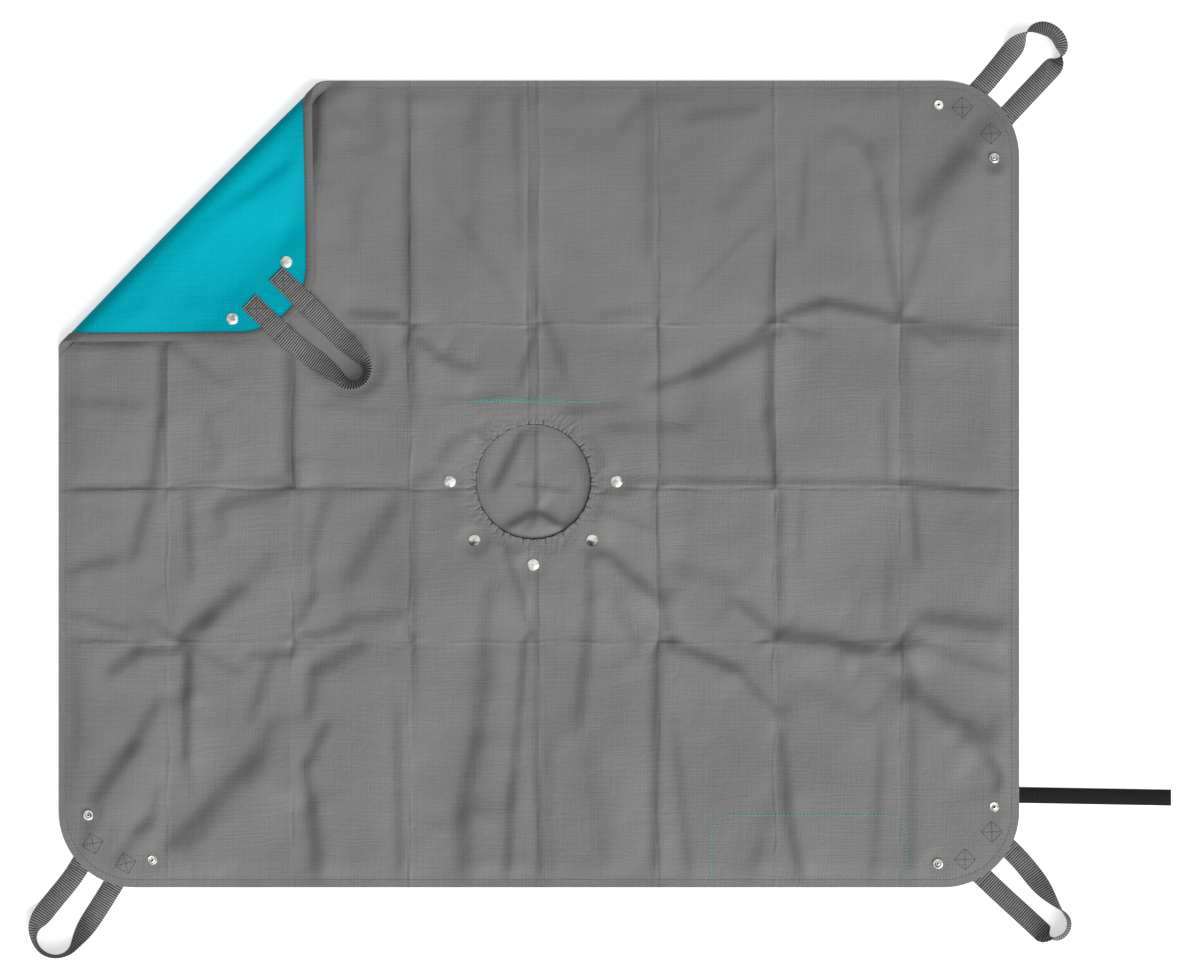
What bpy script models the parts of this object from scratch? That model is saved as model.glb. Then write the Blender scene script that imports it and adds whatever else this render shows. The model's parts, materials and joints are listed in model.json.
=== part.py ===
"""Repotting mat: a tarpaulin work sheet, laid out flat with its left top corner turned over.

Lengths are in metres and +Z is up. The sheet is drawn about its own middle, grey working side up
and turquoise side down, with +X to the right and +Y to the top of the laid-out mat. At the end
everything is moved together, so that the origin lies under the middle of the finished object, at
the level that it rests on.
"""

import math

import bmesh
import bpy
from mathutils import Matrix, Vector

MM = 0.001

# Sheet
SHEET_LENGTH = 1200 * MM
SHEET_WIDTH = 1008 * MM
SHEET_THICKNESS = 0.6 * MM
CORNER_RADIUS = 95 * MM
CORNER_STEPS = 10

# Clearance between one layer and the next, and between pieces that meet edge to edge
CLOTH_GAP = 0.3 * MM

# Hem, turned to the turquoise side
HEM_WIDTH = 10.5 * MM
HEM_THICKNESS = 0.8 * MM

# Storage creases: valleys and ridges by turns, dying out towards the edges
CREASE_DEPTH = 1.2 * MM
CREASE_COLUMNS = 7
CREASE_ROWS = 3
CREASE_COLUMN_PITCH = 150 * MM
CREASE_ROW_PITCH = 200 * MM
FLAT_BORDER = 120 * MM
CREASE_FADE = 60 * MM

# Turned corner
TURNED_LEG = 347 * MM
FOLD_RADIUS = 12 * MM
FOLD_STEPS = 10
PANEL_FALL = 100 * MM
PANEL_FALL_SHARES = (0, 0.12, 0.25, 0.38, 0.5, 0.62, 0.75, 0.88, 1)
TURNED_ZONE_DEPTH = 444 * MM

# Round opening, its elastic and the ring of press studs round it
OPENING_X = -7 * MM
OPENING_Y = 3 * MM
OPENING_RADIUS = 72 * MM
OPENING_STEPS = 40
ELASTIC_WIDTH = 7 * MM
ELASTIC_THICKNESS = 1.2 * MM
STUD_CIRCLE_RADIUS = 104 * MM
CENTRE_SNAP_BEARINGS = {"left": 180, "left_low": 225, "low": 270, "right_low": 315, "right": 0}
RAISED_HALF_WIDTH = 135 * MM
RAISED_RAMP = 60 * MM

# Cover flap under the opening, sewn on along a straight seam
FLAP_RADIUS = 127 * MM
FLAP_SEAM_DISTANCE = 99 * MM
FLAP_THICKNESS = 0.6 * MM
FLAP_RISE_LENGTH = 39 * MM
FLAP_RISE_STEPS = 6
FLAP_STEPS = 40

# Tool pocket under the bottom edge
POCKET_WIDTH = 255 * MM
POCKET_DEPTH = 85 * MM
POCKET_FROM_RIGHT = 136 * MM
POCKET_THICKNESS = 0.6 * MM
POCKET_CORNER_RADIUS = 32 * MM
POCKET_CORNER_STEPS = 5

# Press studs
CAP_RADIUS = 7.3 * MM
CAP_HEIGHT = 2.2 * MM
CAP_RIM = 0.8 * MM
CAP_DOME_SHARES = ((0.93, 0.3), (0.78, 0.62), (0.5, 0.9))
POST_RADIUS = 1.4 * MM
POST_GRIP = 0.6 * MM
POST_CLEARANCE = 0.3 * MM
STUD_RADIUS = 5.8 * MM
STUD_FLANGE = 0.8 * MM
NIPPLE_RADIUS = 2.5 * MM
NIPPLE_HEIGHT = 1.6 * MM
SOCKET_RADIUS = 6.4 * MM
SOCKET_HEIGHT = 2.2 * MM
SOCKET_BASE = 0.7 * MM
SNAP_EDGE_ROUND = 0.4 * MM
SNAP_FIT = 0.3 * MM
SNAP_SEGMENTS = 12
HOLE_SEGMENTS = 8
CUTTER_OVERRUN = 3 * MM

# Where each corner's stud and socket sit, counted inwards from the corner in corner radii
CORNER_SNAP_SHARES = {
    "right_top": {"stud": (0.33, 1.02), "socket": (1.06, 0.32)},
    "right_bottom": {"stud": (1.07, 0.31), "socket": (0.33, 1.06)},
    "left_bottom": {"stud": (0.39, 0.95), "socket": (1.23, 0.36)},
    "left_top": {"stud": (1.02, 0.37), "socket": (0.28, 1.09)},
}
CORNER_SIDES = {
    "right_top": (1, 1),
    "right_bottom": (1, -1),
    "left_bottom": (-1, -1),
    "left_top": (-1, 1),
}

# Webbing handles: one strip each, sewn under the hem at both ends
WEBBING_WIDTH = 25 * MM
WEBBING_THICKNESS = 1.4 * MM
STRAND_SPACING = 48 * MM
SEWN_REACH = 44 * MM
PIVOT_TO_EDGE = 4.3 * MM
PIVOT_GAP = 0.7 * MM
LOOP_STRAND_STEPS = 12
LOOP_TURN_STEPS = 14
LOOP_LANDING_LENGTH = 40 * MM

# Elastic strap, doubled into a flat loop
STRAP_LENGTH = 190 * MM
STRAP_WIDTH = 20 * MM
STRAP_LAYER = 0.55 * MM
STRAP_SLOT = 0.3 * MM
STRAP_FROM_BOTTOM = 114 * MM
STRAP_SEWN_REACH = 25 * MM
STRAP_SEWN_TIP = 10 * MM
STRAP_END_STEPS = 6

# Points closer than this are one point
WELD = 0.001 * MM

# Heights that follow from what lies under the sheet
EDGE_LIFT = max(
    WEBBING_THICKNESS + HEM_THICKNESS + 2 * CLOTH_GAP,
    CAP_HEIGHT + CLOTH_GAP,
)
CENTRE_LIFT = (
    CAP_HEIGHT + FLAP_THICKNESS + STUD_FLANGE + SOCKET_HEIGHT + 4 * CLOTH_GAP
)
EDGE_LEVEL = EDGE_LIFT + SHEET_THICKNESS / 2
SNAP_MATE_HEIGHT = max(SOCKET_HEIGHT, STUD_FLANGE + NIPPLE_HEIGHT)
FLAP_LEVEL = CAP_HEIGHT + CLOTH_GAP + FLAP_THICKNESS / 2
FLAP_SEAM_LEVEL = CENTRE_LIFT - CLOTH_GAP - FLAP_THICKNESS / 2

# The fold: a soft roll whose axis runs from the left edge to the top edge
FOLD_ALONG = Vector((1, 1)).normalized()
FOLD_OUT = Vector((-1, 1)).normalized()
FOLD_START = Vector((-SHEET_LENGTH / 2, SHEET_WIDTH / 2 - TURNED_LEG))
FOLD_DISTANCE = FOLD_START.dot(FOLD_OUT)
FOLD_GIRTH = math.pi * FOLD_RADIUS
PANEL_HIGH = EDGE_LEVEL + 2 * FOLD_RADIUS
PANEL_LOW = EDGE_LEVEL + SHEET_THICKNESS + 2 * CLOTH_GAP + SNAP_MATE_HEIGHT

# Handles, by corner: the way each points, how far it reaches past its sewn ends, how far the strip
# turns over at its far end, where along each strand that turning starts, how far apart the strands
# are at the far end beside their roots, and how far the far end sways to the left
HANDLES = {
    "right_top": {
        "bearing": 47.2,
        "reach": 115.6 * MM,
        "turn": 141,
        "start_shares": (0.583, 0.701),
        "spread_share": 1.097,
        "sway_share": 0.076,
    },
    "right_bottom": {
        "bearing": -44.2,
        "reach": 124 * MM,
        "turn": 118.4,
        "start_shares": (0.213, 0.858),
        "spread_share": 0.752,
        "sway_share": -0.162,
    },
    "left_bottom": {
        "bearing": -121,
        "reach": 117.9 * MM,
        "turn": 82,
        "start_shares": (0.299, 0.514),
        "spread_share": 1.143,
        "sway_share": -0.219,
    },
    "left_top": {
        "bearing": 135,
        "reach": 122 * MM,
        "turn": 86,
        "start_shares": (0.05, 0.05),
        "spread_share": 0.8,
        "sway_share": 0.2,
    },
}


def clear_scene():
    for item in list(bpy.data.objects):
        bpy.data.objects.remove(item, do_unlink=True)


def make_material(name, colour, roughness, metallic):
    material = bpy.data.materials.new(name)
    material.use_nodes = True
    shader = material.node_tree.nodes["Principled BSDF"]
    shader.inputs["Base Color"].default_value = (*colour, 1)
    shader.inputs["Roughness"].default_value = roughness
    shader.inputs["Metallic"].default_value = metallic
    return material


def make_materials():
    return {
        "grey_tarpaulin": make_material("grey_tarpaulin", (0.2, 0.2, 0.2), 0.55, 0),
        "turquoise_tarpaulin": make_material("turquoise_tarpaulin", (0.005, 0.42, 0.5), 0.5, 0),
        "webbing": make_material("webbing", (0.1, 0.1, 0.1), 0.8, 0),
        "black_elastic": make_material("black_elastic", (0.018, 0.018, 0.018), 0.85, 0),
        "nickel": make_material("nickel", (0.68, 0.68, 0.64), 0.28, 1),
    }


class Carrier:
    """An empty that a group of pieces hangs from: the sheet itself, or a joint's axis."""

    def __init__(self, name, place, parent=None):
        self.empty = bpy.data.objects.new(name, None)
        bpy.context.scene.collection.objects.link(self.empty)
        self.place = Vector(place)
        self.pieces = []
        self.empty.location = self.place
        if parent:
            self.empty.location = self.place - parent.place
            self.empty.parent = parent.empty


def add_piece(name, bm, material, carrier, smooth=False):
    """Makes the object of one piece. Its points come in the sheet's own coordinates."""
    bmesh.ops.recalc_face_normals(bm, faces=bm.faces[:])
    bmesh.ops.translate(bm, vec=-carrier.place, verts=bm.verts[:])
    mesh = bpy.data.meshes.new(name)
    bm.to_mesh(mesh)
    bm.free()
    if smooth:
        mesh.shade_smooth()
        mesh.set_sharp_from_angle(angle=math.radians(40))
    mesh.materials.append(material)
    piece = bpy.data.objects.new(name, mesh)
    bpy.context.scene.collection.objects.link(piece)
    piece.parent = carrier.empty
    carrier.pieces.append(piece)
    return piece


def smooth_step(t):
    t = min(max(t, 0), 1)
    return t * t * (3 - 2 * t)


def smooth_slope(t):
    """How steeply smooth_step climbs at a share of its way."""
    return 6 * t * (1 - t)


def arc(centre, radius, start, end, steps):
    """Points of an arc, from one bearing to another in degrees, both ends included."""
    bearings = [math.radians(start + (end - start) * i / steps) for i in range(steps + 1)]
    return [centre + radius * Vector((math.cos(b), math.sin(b))) for b in bearings]


# The shape of the laid sheet

def crease_offsets(count, pitch):
    return [(i - (count - 1) / 2) * pitch for i in range(count)]


def crease_lift(position, count, pitch):
    """Height of the zigzag that folded storage leaves: one way at a crease, nothing half way."""
    nearest = round(position / pitch)
    if abs(nearest) > (count - 1) / 2:
        return 0
    share = 1 - 2 * abs(position / pitch - nearest)
    return CREASE_DEPTH * share * (1 if nearest % 2 else -1)


def raised_share(distance):
    """1 over the flap and its press studs, 0 from a ramp's length further out."""
    return 1 - smooth_step((abs(distance) - RAISED_HALF_WIDTH) / RAISED_RAMP)


def creased_share(x, y):
    from_sides = SHEET_LENGTH / 2 - FLAT_BORDER - abs(x)
    from_ends = SHEET_WIDTH / 2 - FLAT_BORDER - abs(y)
    share = smooth_step(from_sides / CREASE_FADE) * smooth_step(from_ends / CREASE_FADE)
    right_of_turned = (x - turned_zone_right()) / CREASE_FADE
    below_turned = (turned_zone_bottom() - y) / CREASE_FADE
    return share * smooth_step(max(right_of_turned, below_turned))


def turned_zone_right():
    return OPENING_X - RAISED_HALF_WIDTH - RAISED_RAMP


def turned_zone_bottom():
    return SHEET_WIDTH / 2 - TURNED_ZONE_DEPTH


def sheet_level(x, y):
    """Height of the middle of the sheet's thickness."""
    raised = raised_share(x - OPENING_X) * raised_share(y - OPENING_Y)
    creases = crease_lift(x, CREASE_COLUMNS, CREASE_COLUMN_PITCH)
    creases += crease_lift(y, CREASE_ROWS, CREASE_ROW_PITCH)
    level = EDGE_LEVEL + (CENTRE_LIFT - EDGE_LIFT) * raised
    return level + creases * creased_share(x, y) * (1 - raised)


def laid(x, y, depth):
    """A point of the laid sheet. depth counts from its middle towards the grey side."""
    return Vector((x, y, sheet_level(x, y) + depth))


def panel_level(inward):
    """Height of the turned panel's middle, by distance from the fold's axis."""
    return PANEL_LOW + (PANEL_HIGH - PANEL_LOW) * (1 - smooth_step(inward / PANEL_FALL))


def turned(x, y, depth):
    """Where a point of the flat sheet goes once its corner is turned over."""
    flat = Vector((x, y))
    past = flat.dot(FOLD_OUT) - FOLD_DISTANCE
    if past < FOLD_GIRTH:
        angle = past / FOLD_RADIUS
        radius = FOLD_RADIUS - depth
        moved = flat + FOLD_OUT * (radius * math.sin(angle) - past)
        return Vector((*moved, EDGE_LEVEL + FOLD_RADIUS - radius * math.cos(angle)))
    inward = past - FOLD_GIRTH
    moved = flat - FOLD_OUT * (past + inward)
    return Vector((*moved, panel_level(inward) - depth))


# Cutting and raising cloth

def line_cuts(values, normal):
    return [(value, Vector(normal)) for value in values]


def fold_cuts(distances):
    """Cuts along the fold, at distances past its axis on the flat sheet."""
    return [(FOLD_DISTANCE + d, FOLD_OUT) for d in distances]


def add_net(bm, outline, holes, cuts):
    """A flat net of triangles in the outline, with points where the cuts cross it."""
    for ring in [outline, *holes]:
        points = [bm.verts.new((p[0], p[1], 0)) for p in ring]
        for i, point in enumerate(points):
            bm.edges.new((points[i - 1], point))
    bmesh.ops.triangle_fill(bm, use_beauty=True, use_dissolve=False, edges=bm.edges[:])
    for distance, normal in cuts:
        normal = normal.to_3d()
        everything = bm.verts[:] + bm.edges[:] + bm.faces[:]
        bmesh.ops.bisect_plane(
            bm, geom=everything, dist=WELD, plane_co=normal * distance, plane_no=normal
        )

    def on_a_cut(edge):
        return any(
            all(abs(v.co.dot(normal.to_3d()) - distance) < 2 * WELD for v in edge.verts)
            for distance, normal in cuts
        )

    loose = [e for e in bm.edges if len(e.link_faces) == 2 and not on_a_cut(e)]
    if cuts:
        bmesh.ops.dissolve_edges(bm, edges=loose, use_verts=False)
    bmesh.ops.triangulate(bm, faces=bm.faces[:])


def cloth(outline, place, under, over, cuts=(), holes=()):
    """A layer of cloth cut to an outline, between two depths of a laid surface."""
    net = bmesh.new()
    add_net(net, outline, holes, cuts)
    net.verts.index_update()
    bm = bmesh.new()
    flats = [v.co.copy() for v in net.verts]
    lower = [bm.verts.new(place(p.x, p.y, under)) for p in flats]
    upper = [bm.verts.new(place(p.x, p.y, over)) for p in flats]
    for face in net.faces:
        corners = [v.index for v in face.verts]
        bm.faces.new([upper[i] for i in corners])
        bm.faces.new([lower[i] for i in reversed(corners)])
    for edge in net.edges:
        if len(edge.link_faces) == 1:
            a, b = (v.index for v in edge.verts)
            bm.faces.new([lower[a], lower[b], upper[b], upper[a]])
    net.free()
    return bm


def rounded_path(inset, corners, start=None, end=None):
    """The sheet's edge, moved inwards, through the named corners in turn."""
    half = Vector((SHEET_LENGTH / 2 - inset, SHEET_WIDTH / 2 - inset))
    radius = CORNER_RADIUS - inset
    path = [] if start is None else [start]
    for corner in corners:
        side = Vector(CORNER_SIDES[corner])
        centre = Vector((side.x * (half.x - radius), side.y * (half.y - radius)))
        middle = math.degrees(math.atan2(side.y, side.x))
        path += arc(centre, radius, middle - 45, middle + 45, CORNER_STEPS)
    return path if end is None else path + [end]


def edge_crossings(past, inset):
    """Where a line along the fold meets the left and the top edge, moved inwards."""
    left = -SHEET_LENGTH / 2 + inset
    top = SHEET_WIDTH / 2 - inset
    offset = (FOLD_DISTANCE + past) / FOLD_OUT.y
    return Vector((left, left + offset)), Vector((top - offset, top))


def cut_snap_holes(piece, places, carrier):
    """Punches the holes that the press studs' posts pass through."""
    bm = bmesh.new()
    for place in places:
        bmesh.ops.create_cone(
            bm,
            cap_ends=True,
            segments=HOLE_SEGMENTS,
            radius1=POST_RADIUS + POST_CLEARANCE,
            radius2=POST_RADIUS + POST_CLEARANCE,
            depth=2 * CUTTER_OVERRUN,
            matrix=Matrix.Translation(place),
        )
    cutter = add_piece(piece.name + "_punch", bm, piece.data.materials[0], carrier)
    carrier.pieces.remove(cutter)
    cutter.hide_render = True
    cutter.display_type = "WIRE"
    holes = piece.modifiers.new("snap_holes", "BOOLEAN")
    holes.operation = "DIFFERENCE"
    holes.solver = "EXACT"
    holes.object = cutter


# Press studs

def lathe(profile, closed):
    """Turns a profile of radius and height round the Z axis."""
    bm = bmesh.new()
    points = [bm.verts.new((radius, 0, height)) for radius, height in profile]
    pairs = list(zip(points, points[1:]))
    if closed:
        pairs.append((points[-1], points[0]))
    edges = [bm.edges.new(pair) for pair in pairs]
    bmesh.ops.spin(
        bm,
        geom=points + edges,
        cent=(0, 0, 0),
        axis=(0, 0, 1),
        angle=2 * math.pi,
        steps=SNAP_SEGMENTS,
        use_merge=True,
    )
    bmesh.ops.remove_doubles(bm, verts=bm.verts[:], dist=WELD)
    return bm


def cap_shape(cloth_thickness):
    """A domed cap, dome down, with the post that goes up through the cloth."""
    post_top = cloth_thickness + 2 * CLOTH_GAP + POST_GRIP
    dome = CAP_HEIGHT - CAP_RIM
    profile = [(0, post_top), (POST_RADIUS, post_top), (POST_RADIUS, 0), (CAP_RADIUS, 0)]
    profile.append((CAP_RADIUS, -CAP_RIM))
    for radius_share, height_share in CAP_DOME_SHARES:
        profile.append((CAP_RADIUS * radius_share, -CAP_RIM - dome * height_share))
    profile.append((0, -CAP_HEIGHT))
    return lathe(profile, closed=False)


def stud_shape():
    """The ring with the hollow nipple that presses into a socket."""
    bore = POST_RADIUS + POST_CLEARANCE
    top = STUD_FLANGE + NIPPLE_HEIGHT
    profile = [
        (bore, 0),
        (STUD_RADIUS, 0),
        (STUD_RADIUS, STUD_FLANGE - SNAP_EDGE_ROUND),
        (STUD_RADIUS - SNAP_EDGE_ROUND, STUD_FLANGE),
        (NIPPLE_RADIUS, STUD_FLANGE),
        (NIPPLE_RADIUS, top),
        (bore, top),
    ]
    return lathe(profile, closed=True)


def socket_shape():
    """The ring with the wider mouth that takes a nipple."""
    bore = POST_RADIUS + POST_CLEARANCE
    mouth = NIPPLE_RADIUS + SNAP_FIT
    profile = [
        (bore, 0),
        (SOCKET_RADIUS, 0),
        (SOCKET_RADIUS, SOCKET_HEIGHT - SNAP_EDGE_ROUND),
        (SOCKET_RADIUS - SNAP_EDGE_ROUND, SOCKET_HEIGHT),
        (mouth, SOCKET_HEIGHT),
        (mouth, SOCKET_BASE),
        (bore, SOCKET_BASE),
    ]
    return lathe(profile, closed=True)


def add_snap(names, place, mate, cloth_thickness, cap_side, up, material, carrier):
    """One cap and its mate on both sides of the cloth.

    place is on the middle of the cloth. cap_side is -1 for a cap under the cloth's own upper
    face and 1 for one over it. up is 1 where that face looks up and -1 where it looks down.
    """
    flip = Matrix.Rotation(math.pi, 4, "X")
    step = Vector((0, 0, cloth_thickness / 2 + CLOTH_GAP))
    turn = Matrix.Identity(4) if cap_side * up < 0 else flip
    way = -cap_side * up
    cap_name, mate_name = names
    cap = cap_shape(cloth_thickness)
    bmesh.ops.transform(cap, matrix=Matrix.Translation(place - step * way) @ turn, verts=cap.verts[:])
    add_piece(cap_name, cap, material, carrier, smooth=True)
    ring = stud_shape() if mate == "stud" else socket_shape()
    bmesh.ops.transform(ring, matrix=Matrix.Translation(place + step * way) @ turn, verts=ring.verts[:])
    add_piece(mate_name, ring, material, carrier, smooth=True)


def corner_snap_place(corner, mate):
    side = Vector(CORNER_SIDES[corner])
    shares = CORNER_SNAP_SHARES[corner][mate]
    x = side.x * (SHEET_LENGTH / 2 - shares[0] * CORNER_RADIUS)
    y = side.y * (SHEET_WIDTH / 2 - shares[1] * CORNER_RADIUS)
    return x, y


def centre_snap_place(bearing):
    angle = math.radians(bearing)
    x = OPENING_X + STUD_CIRCLE_RADIUS * math.cos(angle)
    y = OPENING_Y + STUD_CIRCLE_RADIUS * math.sin(angle)
    return x, y


# Webbing

class HandleFrame:
    """Axes of one handle: out along the strands, across them, and the pivot between."""

    def __init__(self, corner):
        side = Vector(CORNER_SIDES[corner])
        inner = Vector((SHEET_LENGTH / 2 - CORNER_RADIUS, SHEET_WIDTH / 2 - CORNER_RADIUS))
        self.centre = Vector((side.x * inner.x, side.y * inner.y))
        bearing = math.radians(HANDLES[corner]["bearing"])
        self.out = Vector((math.cos(bearing), math.sin(bearing)))
        self.across = Vector((-self.out.y, self.out.x))
        chord = math.sqrt(CORNER_RADIUS**2 - (STRAND_SPACING / 2) ** 2)
        near_side = (STRAND_SPACING - WEBBING_WIDTH) / 2
        widest = math.sqrt(CORNER_RADIUS**2 - near_side**2)
        self.sewn_tip = chord - SEWN_REACH
        self.pivot = widest + PIVOT_TO_EDGE
        self.far_end = chord + HANDLES[corner]["reach"]

    def flat(self, out, across):
        return self.centre + self.out * out + self.across * across


def nose(radius):
    """Stations of a blunt round end: distance before its centre, and share of the thickness."""
    small = math.tan(math.radians(22.5))
    return [(-radius, small), (-radius * small, 1)]


def strip(sections):
    """A closed strip through sections whose points run along its under side and back over it.

    Both sides are cut into triangles along the same slants, so a strip that twists keeps its
    thickness.
    """
    bm = bmesh.new()
    rings = [[bm.verts.new(point) for point in section] for section in sections]
    count = len(sections[0])
    for ring, following in zip(rings, rings[1:]):
        for i in range(count):
            j = (i + 1) % count
            if i < count / 2:
                bm.faces.new([ring[i], ring[j], following[j]])
                bm.faces.new([ring[i], following[j], following[i]])
            else:
                bm.faces.new([ring[i], ring[j], following[i]])
                bm.faces.new([ring[j], following[j], following[i]])
    bm.faces.new(rings[0])
    bm.faces.new(rings[-1])
    return bm


def section(centre, across, normal, width, thickness):
    """Six points of a strip's cross section: both edges and the middle, below and above."""
    a = across * (width / 2)
    n = normal * (thickness / 2)
    return [centre - a - n, centre - n, centre + a - n, centre + a + n, centre + n, centre - a + n]


def sewn_end_sections(start, end, width, thickness, point):
    """Sections of a flat end that runs from start to a blunt nose at end."""
    half = thickness / 2
    stations = [(start, 1)] + [(end - before, share) for before, share in reversed(nose(half))]
    found = []
    for along, share in stations:
        corners = [(-width / 2, -half * share), (width / 2, -half * share)]
        corners += [(width / 2, half * share), (-width / 2, half * share)]
        found.append([point(along, across, depth) for across, depth in corners])
    return found


def add_sewn_ends(corner, place, level_depth, material, carrier):
    """The two flat ends of a handle. level_depth is their depth under the sheet's middle."""
    frame = HandleFrame(corner)
    end = frame.pivot - WEBBING_THICKNESS - PIVOT_GAP
    for name, side in (("a", 1), ("b", -1)):

        def point(along, across, depth, side=side):
            spot = frame.flat(along, side * STRAND_SPACING / 2 + across)
            return place(spot.x, spot.y, level_depth + depth)

        sections = sewn_end_sections(
            frame.sewn_tip, end, WEBBING_WIDTH, WEBBING_THICKNESS, point
        )
        add_piece(f"handle_{corner}_end_{name}", strip(sections), material, carrier)


def strand_station(corner, length, side, t):
    """One place on a strand, at a share of its run: along, across and its outward way."""
    handle = HANDLES[corner]
    root = STRAND_SPACING / 2
    gain = root * (side * (handle["spread_share"] - 1) + handle["sway_share"])
    run = length - root * handle["spread_share"]
    slant = math.atan2(gain * smooth_slope(t), run)
    across = side * root + gain * smooth_step(t)
    return run * t, across, side * math.pi / 2 + slant


def loop_stations(corner, length):
    """Plan of a handle's loop, one root to the other, with where its strip starts to turn over."""
    handle = HANDLES[corner]
    first, last = handle["start_shares"]
    going = []
    coming = []
    for i in range(LOOP_STRAND_STEPS):
        t = i / LOOP_STRAND_STEPS
        going.append((*strand_station(corner, length, 1, t), first))
        coming.append((*strand_station(corner, length, -1, t), last))
    half = STRAND_SPACING / 2 * handle["spread_share"]
    sway = STRAND_SPACING / 2 * handle["sway_share"]
    bend = []
    for i in range(LOOP_TURN_STEPS + 1):
        t = i / LOOP_TURN_STEPS
        way = math.pi / 2 - math.pi * t
        along = length - half + half * math.cos(way)
        bend.append((along, sway + half * math.sin(way), way, first + (last - first) * t))
    return going + bend + coming[::-1]


def loop_sections(corner, length, ground, root_level, point):
    """Sections of a loop that lies flat at its roots and turns up on edge at its far end."""
    handle = HANDLES[corner]
    half = WEBBING_THICKNESS / 2
    sections = []
    stations = loop_stations(corner, length)
    for index, (along, across, way, start) in enumerate(stations):
        share = (along / length - start) / (1 - start)
        angle = math.radians(handle["turn"]) * smooth_step(share)
        lying = half * abs(math.cos(angle)) + WEBBING_WIDTH / 2 * math.sin(angle)
        landing = smooth_step(along / LOOP_LANDING_LENGTH)
        level = root_level + (ground + lying - root_level) * landing
        outward = point(math.cos(way), math.sin(way), 0) - point(0, 0, 0)
        tangent = outward.cross(Vector((0, 0, 1)))
        across_strip = outward * math.cos(angle) + Vector((0, 0, math.sin(angle)))
        normal = tangent.cross(across_strip)
        centre = point(along, across, level)
        whole = section(centre, across_strip, normal, WEBBING_WIDTH, WEBBING_THICKNESS)
        if index not in (0, len(stations) - 1):
            sections.append(whole)
            continue
        ends = []
        for before, thickness_share in nose(half):
            back = point(along + before, across, level)
            thin = WEBBING_THICKNESS * thickness_share
            ends.append(section(back, across_strip, normal, WEBBING_WIDTH, thin))
        sections += ends if index == 0 else reversed(ends)
    return sections


def add_loop(corner, material, ground, root_level, turned_over, parent):
    """A handle's loop on its own carrier, whose axis runs through both roots."""
    frame = HandleFrame(corner)
    length = frame.far_end - frame.pivot - WEBBING_THICKNESS / 2

    def plan(out, across):
        spot = frame.flat(out, across)
        return turned(spot.x, spot.y, 0).to_2d() if turned_over else spot

    pivot = plan(frame.pivot, 0)
    carrier = Carrier(f"handle_{corner}_pivot", (*pivot, root_level), parent)
    out = (plan(frame.pivot + length, 0) - pivot).normalized()
    across_way = Vector((-out.y, out.x))

    def point(along, across, level):
        return Vector((*(pivot + out * along + across_way * across), level))

    sections = loop_sections(corner, length, ground, root_level, point)
    add_piece(f"handle_{corner}_loop", strip(sections), material, carrier)
    return carrier


# Whole pieces

def add_sheet(materials, carrier):
    """The main sheet, up to the fold, with its round opening and its snap holes."""
    left, top = edge_crossings(-CLOTH_GAP / 2, 0)
    corners = ("left_bottom", "right_bottom", "right_top")
    outline = rounded_path(0, corners, start=left, end=top)
    centre = Vector((OPENING_X, OPENING_Y))
    opening = arc(centre, OPENING_RADIUS, 0, 360, OPENING_STEPS)[:-1]
    columns = crease_offsets(2 * CREASE_COLUMNS + 1, CREASE_COLUMN_PITCH / 2)
    rows = crease_offsets(2 * CREASE_ROWS + 1, CREASE_ROW_PITCH / 2)
    border_x = SHEET_LENGTH / 2 - FLAT_BORDER
    border_y = SHEET_WIDTH / 2 - FLAT_BORDER
    for reach in (RAISED_HALF_WIDTH, RAISED_HALF_WIDTH + RAISED_RAMP):
        columns += [OPENING_X - reach, OPENING_X + reach]
        rows += [OPENING_Y - reach, OPENING_Y + reach]
    columns += [-border_x, border_x]
    rows += [-border_y, border_y, turned_zone_bottom()]
    cuts = line_cuts(sorted(columns), (1, 0)) + line_cuts(sorted(rows), (0, 1))
    half = SHEET_THICKNESS / 2
    bm = cloth(outline, laid, -half, half, cuts, [opening])
    sheet = add_piece("mat_sheet", bm, materials["grey_tarpaulin"], carrier)
    places = [centre_snap_place(b) for b in CENTRE_SNAP_BEARINGS.values()]
    for corner in corners:
        places += [corner_snap_place(corner, mate) for mate in ("stud", "socket")]
    cut_snap_holes(sheet, [laid(x, y, 0) for x, y in places], carrier)


def add_hem(materials, carrier):
    """The hem round the main sheet, a band under its edge."""
    corners = ("left_bottom", "right_bottom", "right_top")
    outer_left, outer_top = edge_crossings(-CLOTH_GAP / 2, 0)
    inner_left, inner_top = edge_crossings(-CLOTH_GAP / 2, HEM_WIDTH)
    outer = rounded_path(0, corners, start=outer_left, end=outer_top)
    inner = rounded_path(HEM_WIDTH, corners, start=inner_left, end=inner_top)
    over = -SHEET_THICKNESS / 2 - CLOTH_GAP
    bm = cloth(outer + inner[::-1], laid, over - HEM_THICKNESS, over)
    add_piece("hem_binding", bm, materials["grey_tarpaulin"], carrier)


def turned_outline(inset):
    past = FOLD_GIRTH + CLOTH_GAP / 2
    left, top = edge_crossings(past, inset)
    return rounded_path(inset, ("left_top",), start=top, end=left)


def panel_cuts():
    distances = [FOLD_GIRTH + PANEL_FALL * share for share in PANEL_FALL_SHARES[1:]]
    return fold_cuts(distances)


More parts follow.
